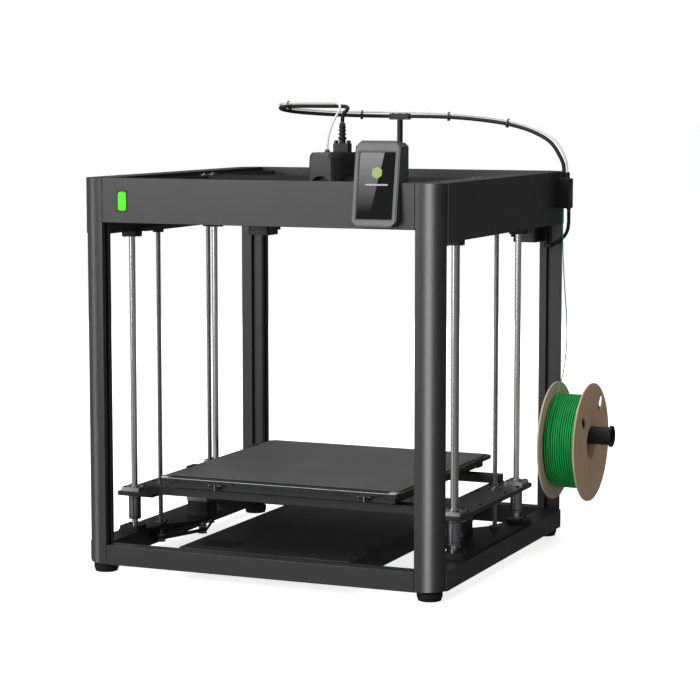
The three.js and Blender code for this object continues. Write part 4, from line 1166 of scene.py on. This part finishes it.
def flange(part, x, material=None, slots=()):
    """A pressed board disc with its bore and a few slots cut through it."""
    bm = bmesh.new()
    edges = []
    for outline in (circle(128, SPOOL_R), circle(128, SPOOL_BORE), *(slot_outline(*slot) for slot in slots)):
        ring = [bm.verts.new((x, SPOOL_Y + a, SPOOL_Z + b)) for a, b in outline]
        edges += [bm.edges.new((v, ring[(i + 1) % len(ring)])) for i, v in enumerate(ring)]
    made = bmesh.ops.triangle_fill(bm, use_beauty=True, use_dissolve=False, edges=edges)
    faces = [f for f in made["geom"] if isinstance(f, bmesh.types.BMFace)]
    grown = bmesh.ops.extrude_face_region(bm, geom=faces)
    top = [v for v in grown["geom"] if isinstance(v, bmesh.types.BMVert)]
    bmesh.ops.translate(bm, verts=top, vec=(BOARD, 0, 0))
    finish_piece(f"spool_{part}", bm, material, replaces="spool", bevel=0.4, bevel_angle=50)


def spool():
    flange("inner_flange", SPOOL_X, "cardboard_grey")
    slots = ((math.radians(50), 77, 31, 17), (math.radians(140), 57, 27, 16))
    flange("outer_flange", SPOOL_X + SPOOL_W - BOARD, slots=slots)
    ends = [(SPOOL_HUB, BOARD - 0.1), (SPOOL_HUB, SPOOL_W - BOARD + 0.1)]
    remake("spool", "hub", washer(SPOOL_BORE + 0.3, ends, (SPOOL_X, SPOOL_Y, SPOOL_Z), "X", 64))


def winding():
    """The outer turns, laid side by side on a near-black body of painted shade, which stands for the turns
    under them and the shade between the outer turns.
    """
    r = TURN_R
    x0, x1 = SPOOL_X + BOARD + GAP, SPOOL_X + SPOOL_W - BOARD - GAP
    core = [(WINDING_R - 1.9 * r, 0), (WINDING_R - 1.9 * r, x1 - x0)]
    # painted shade: the core's near-black green shows dark in the gaps between the outer turns
    piece("winding_core", "painted_shade_filament", washer(SPOOL_HUB + GAP, core, (x0, SPOOL_Y, SPOOL_Z), "X", 64),
          replaces="filament_winding")
    chance = random.Random(5)
    steps = 72
    room = x1 - x0 - 2 * r
    turns = int(room / (2.55 * r))
    sway = [chance.uniform(-0.25, 0.25) for _ in range(turns + 2)]
    drop = [chance.uniform(0, 0.3) for _ in range(turns + 2)]
    route = []
    for i in range(turns * steps + 1):
        turn, share = int(i / steps), (i / steps) % 1.0
        x = x0 + r + room * i / (turns * steps) + sway[turn] * (1 - share) + sway[turn + 1] * share
        reach = WINDING_R - r - drop[turn] * (1 - share) - drop[turn + 1] * share
        angle = 2 * math.pi * share
        route.append(Vector((min(max(x, x0 + r), x1 - r), SPOOL_Y + reach * math.cos(angle),
                             SPOOL_Z + reach * math.sin(angle))))
    piece("winding_turns", "filament_green", tube(route, r, 12), body=BODY_OF["filament_winding"])


def holder():
    refine("spool_holder", 0.8, 3)
    places = product([311.3], (SPOOL_Y + 35, SPOOL_Y + 60), [187.7])
    screw_row("holder_screws", places, "X", 1, r=4.2, high=3.0)


def rear_post():
    refine("cable_post", 0.7, 3)
    bands = [washer(4.1, [(5.5, -1.6), (5.5, 1.6)], (x, 290, 716.5), "X", 28)[0] for x in (-12.5, 0.0, 12.5)]
    piece("clip_bands", "cable_black", bands, bevel=0.4)
    collar = washer(5.05, [(9.0, 0), (9.5, 0.5), (9.5, 2.0), (8.5, 2.8)], (0, 290, FRAME_TOP + GAP), sides=36)
    piece("post_collar", "plastic_black", collar)


def inlet():
    refine("power_switch", 0.5)
    blades = [box((x - 1, x + 1), (288, 300), (z, z + 5))[0] for x, z in ((97, 24), (105, 29.5), (113, 24))]
    piece("inlet_blades", "brass", blades, bevel=0.2)
    screw_row("inlet_screws", product([84.5], [307], (18.6, 38.4)), "Y", 1, "black_screw", r=1.6, high=0.4)


# how far along the head cable each tie is, as a share, and which of the two moving stretches it is on
TIES = ((0.215, "front"), (0.482, "rear"), (0.678, None), (0.815, None))


def cable_ties():
    """Narrow bands that hold the filament tube to the head cable; those on the two moving stretches are left
    on no body, like those stretches, and the others go on the frame.
    """
    samples = 400
    cable = smooth_route([row_point(p) for p in HEAD_CABLE], samples)
    hose = smooth_route([row_point(p) for p in FILAMENT_TUBE], samples)
    slack, wall, half = 0.0004, 0.0009, 0.00125  # metres
    ra, rb = CABLE_D / 2 + slack, TUBE_D / 2 + slack
    for index, (share, stretch) in enumerate(TIES):
        k = int(share * (samples - 1))
        at = cable[k]
        along = (cable[k + 1] - cable[k - 1]).normalized()
        gap = min(hose, key=lambda p: (p - at).length) - at
        gap -= along * gap.dot(along)
        up = gap.normalized()
        side = along.cross(up)
        under = [math.pi * (1 + i / 12) for i in range(13)]
        over = [math.pi * i / 8 for i in range(9)]
        outline = [(ra * math.cos(a), ra * math.sin(a)) for a in under]
        outline += [(rb * math.cos(a), gap.length + rb * math.sin(a)) for a in over]
        band = []
        for grow, lift in ((0, -half), (wall, -half), (wall, half), (0, half), (0, -half)):
            ring = []
            for a, b in outline:
                away = Vector((a, b - gap.length / 2)).normalized() * grow
                ring.append(at + side * (a + away.x) + up * (b + away.y) + along * lift)
            band.append(ring)
        lock = at - up * (ra + 0.0012)
        corners = ((-0.0022, -0.0014), (0.0022, -0.0014), (0.0022, 0.0014), (-0.0022, 0.0014))
        head_block = [[lock + side * a + up * b + along * d for a, b in corners] for d in (-0.002, 0.002)]
        made = piece(f"cable_tie_{index}", "plastic_black", [band, head_block], to_row=IN_ROW,
                     body="" if stretch else None)
        if stretch:
            bend(made)


runout_sensor()
spool()
winding()
holder()
rear_post()
inlet()
cable_ties()


# --- studio -----------------------------------------------------------------------------------

ROOM_DARK, ROOM_BRIGHT = 0.13, 0.42
BRIGHT_WAY = (-0.42, -0.85, 0.3)  # in front, to the left and a little up
FLOOR_HALF = 40.0


def room_light(tree):
    """A dim room for what the light falls on: brightest in front and to the left, darkest behind the
    right side."""
    room = tree.nodes.new("ShaderNodeBackground")
    place = tree.nodes.new("ShaderNodeTexCoord")
    toward = tree.nodes.new("ShaderNodeVectorMath")
    toward.operation = "DOT_PRODUCT"
    toward.inputs[1].default_value = Vector(BRIGHT_WAY).normalized()
    tree.links.new(place.outputs["Generated"], toward.inputs[0])
    ramp = tree.nodes.new("ShaderNodeMapRange")
    values = {"From Min": -0.8, "From Max": 1.0, "To Min": ROOM_DARK, "To Max": ROOM_BRIGHT}
    for name, value in values.items():
        ramp.inputs[name].default_value = value
    tree.links.new(toward.outputs["Value"], ramp.inputs["Value"])
    tree.links.new(ramp.outputs["Result"], room.inputs["Strength"])
    return room.outputs["Background"]


def add_world():
    """White where it is seen past the object, and the dim room for every other ray."""
    world = bpy.data.worlds.new("studio_world")
    world.use_nodes = True
    tree = world.node_tree
    tree.nodes.clear()
    path = tree.nodes.new("ShaderNodeLightPath")
    mix = tree.nodes.new("ShaderNodeMixShader")
    plain = tree.nodes.new("ShaderNodeBackground")
    plain.inputs["Color"].default_value = (1.0, 1.0, 1.0, 1.0)
    out = tree.nodes.new("ShaderNodeOutputWorld")
    tree.links.new(path.outputs["Is Camera Ray"], mix.inputs["Fac"])
    tree.links.new(room_light(tree), mix.inputs[1])
    tree.links.new(plain.outputs["Background"], mix.inputs[2])
    tree.links.new(mix.outputs["Shader"], out.inputs["Surface"])
    bpy.context.scene.world = world


def add_floor():
    """A floor that gives off white light and is left out of the object's light and reflections."""
    mesh = bpy.data.meshes.new("studio_floor")
    h = FLOOR_HALF
    mesh.from_pydata([(-h, -h, 0), (h, -h, 0), (h, h, 0), (-h, h, 0)], [], [(0, 1, 2, 3)])
    n = Nodes("studio_white")
    n.set(Base_Color=(0.85, 0.85, 0.85), Roughness=0.9, Specular_IOR_Level=0.1)
    n.set(Emission_Color=(1.0, 1.0, 1.0), Emission_Strength=0.8)
    mesh.materials.append(n.material)
    floor = bpy.data.objects.new("studio_floor", mesh)
    bpy.context.scene.collection.objects.link(floor)
    floor.visible_diffuse = False
    floor.visible_glossy = False


def softbox(name, place, aim, size, power, only=None, lit=None):
    """A rectangular light; only="gloss" or "diffuse" leaves the other kind of reflection out, and lit
    names the one piece that it falls on."""
    light = bpy.data.objects.new(name, bpy.data.lights.new(name, "AREA"))
    light.data.shape = "RECTANGLE"
    light.data.size, light.data.size_y = size
    light.data.energy = power
    light.location = ORIGIN + Vector(place)
    light.rotation_euler = (Vector(aim) - Vector(place)).to_track_quat("-Z", "Y").to_euler()
    light.visible_camera = False
    light.visible_diffuse = only != "gloss"
    light.visible_glossy = only != "diffuse"
    if lit:
        light.light_linking.receiver_collection = bpy.data.collections.new(f"{name}_lights")
        light.light_linking.receiver_collection.objects.link(bpy.data.objects[lit])
    bpy.context.scene.collection.objects.link(light)


def studio():
    add_floor()
    add_world()
    softbox("light_top", (-0.3, 0.2, 2.8), (0, 0, 0.3), (2.6, 2.6), 40)
    softbox("light_front_left", (-1.4, -3.4, 1.4), (0, 0, 0.35), (2.6, 2.4), 86)
    softbox("light_back_left", (-1.5, 3.3, 1.5), (0, 0, 0.3), (2.2, 2.0), 45, "diffuse")
    softbox("light_front_strip", (1.7, -2.7, 0.3), (0, 0, 0.4), (1.2, 3.2), 175, "gloss",
            "column_front_right_post")
    softbox("light_left_strip", (-2.9, -1.1, 0.5), (0, 0, 0.4), (0.4, 3.0), 35, "gloss",
            "column_front_left_post")
    bpy.context.scene.view_settings.view_transform = "Standard"


studio()
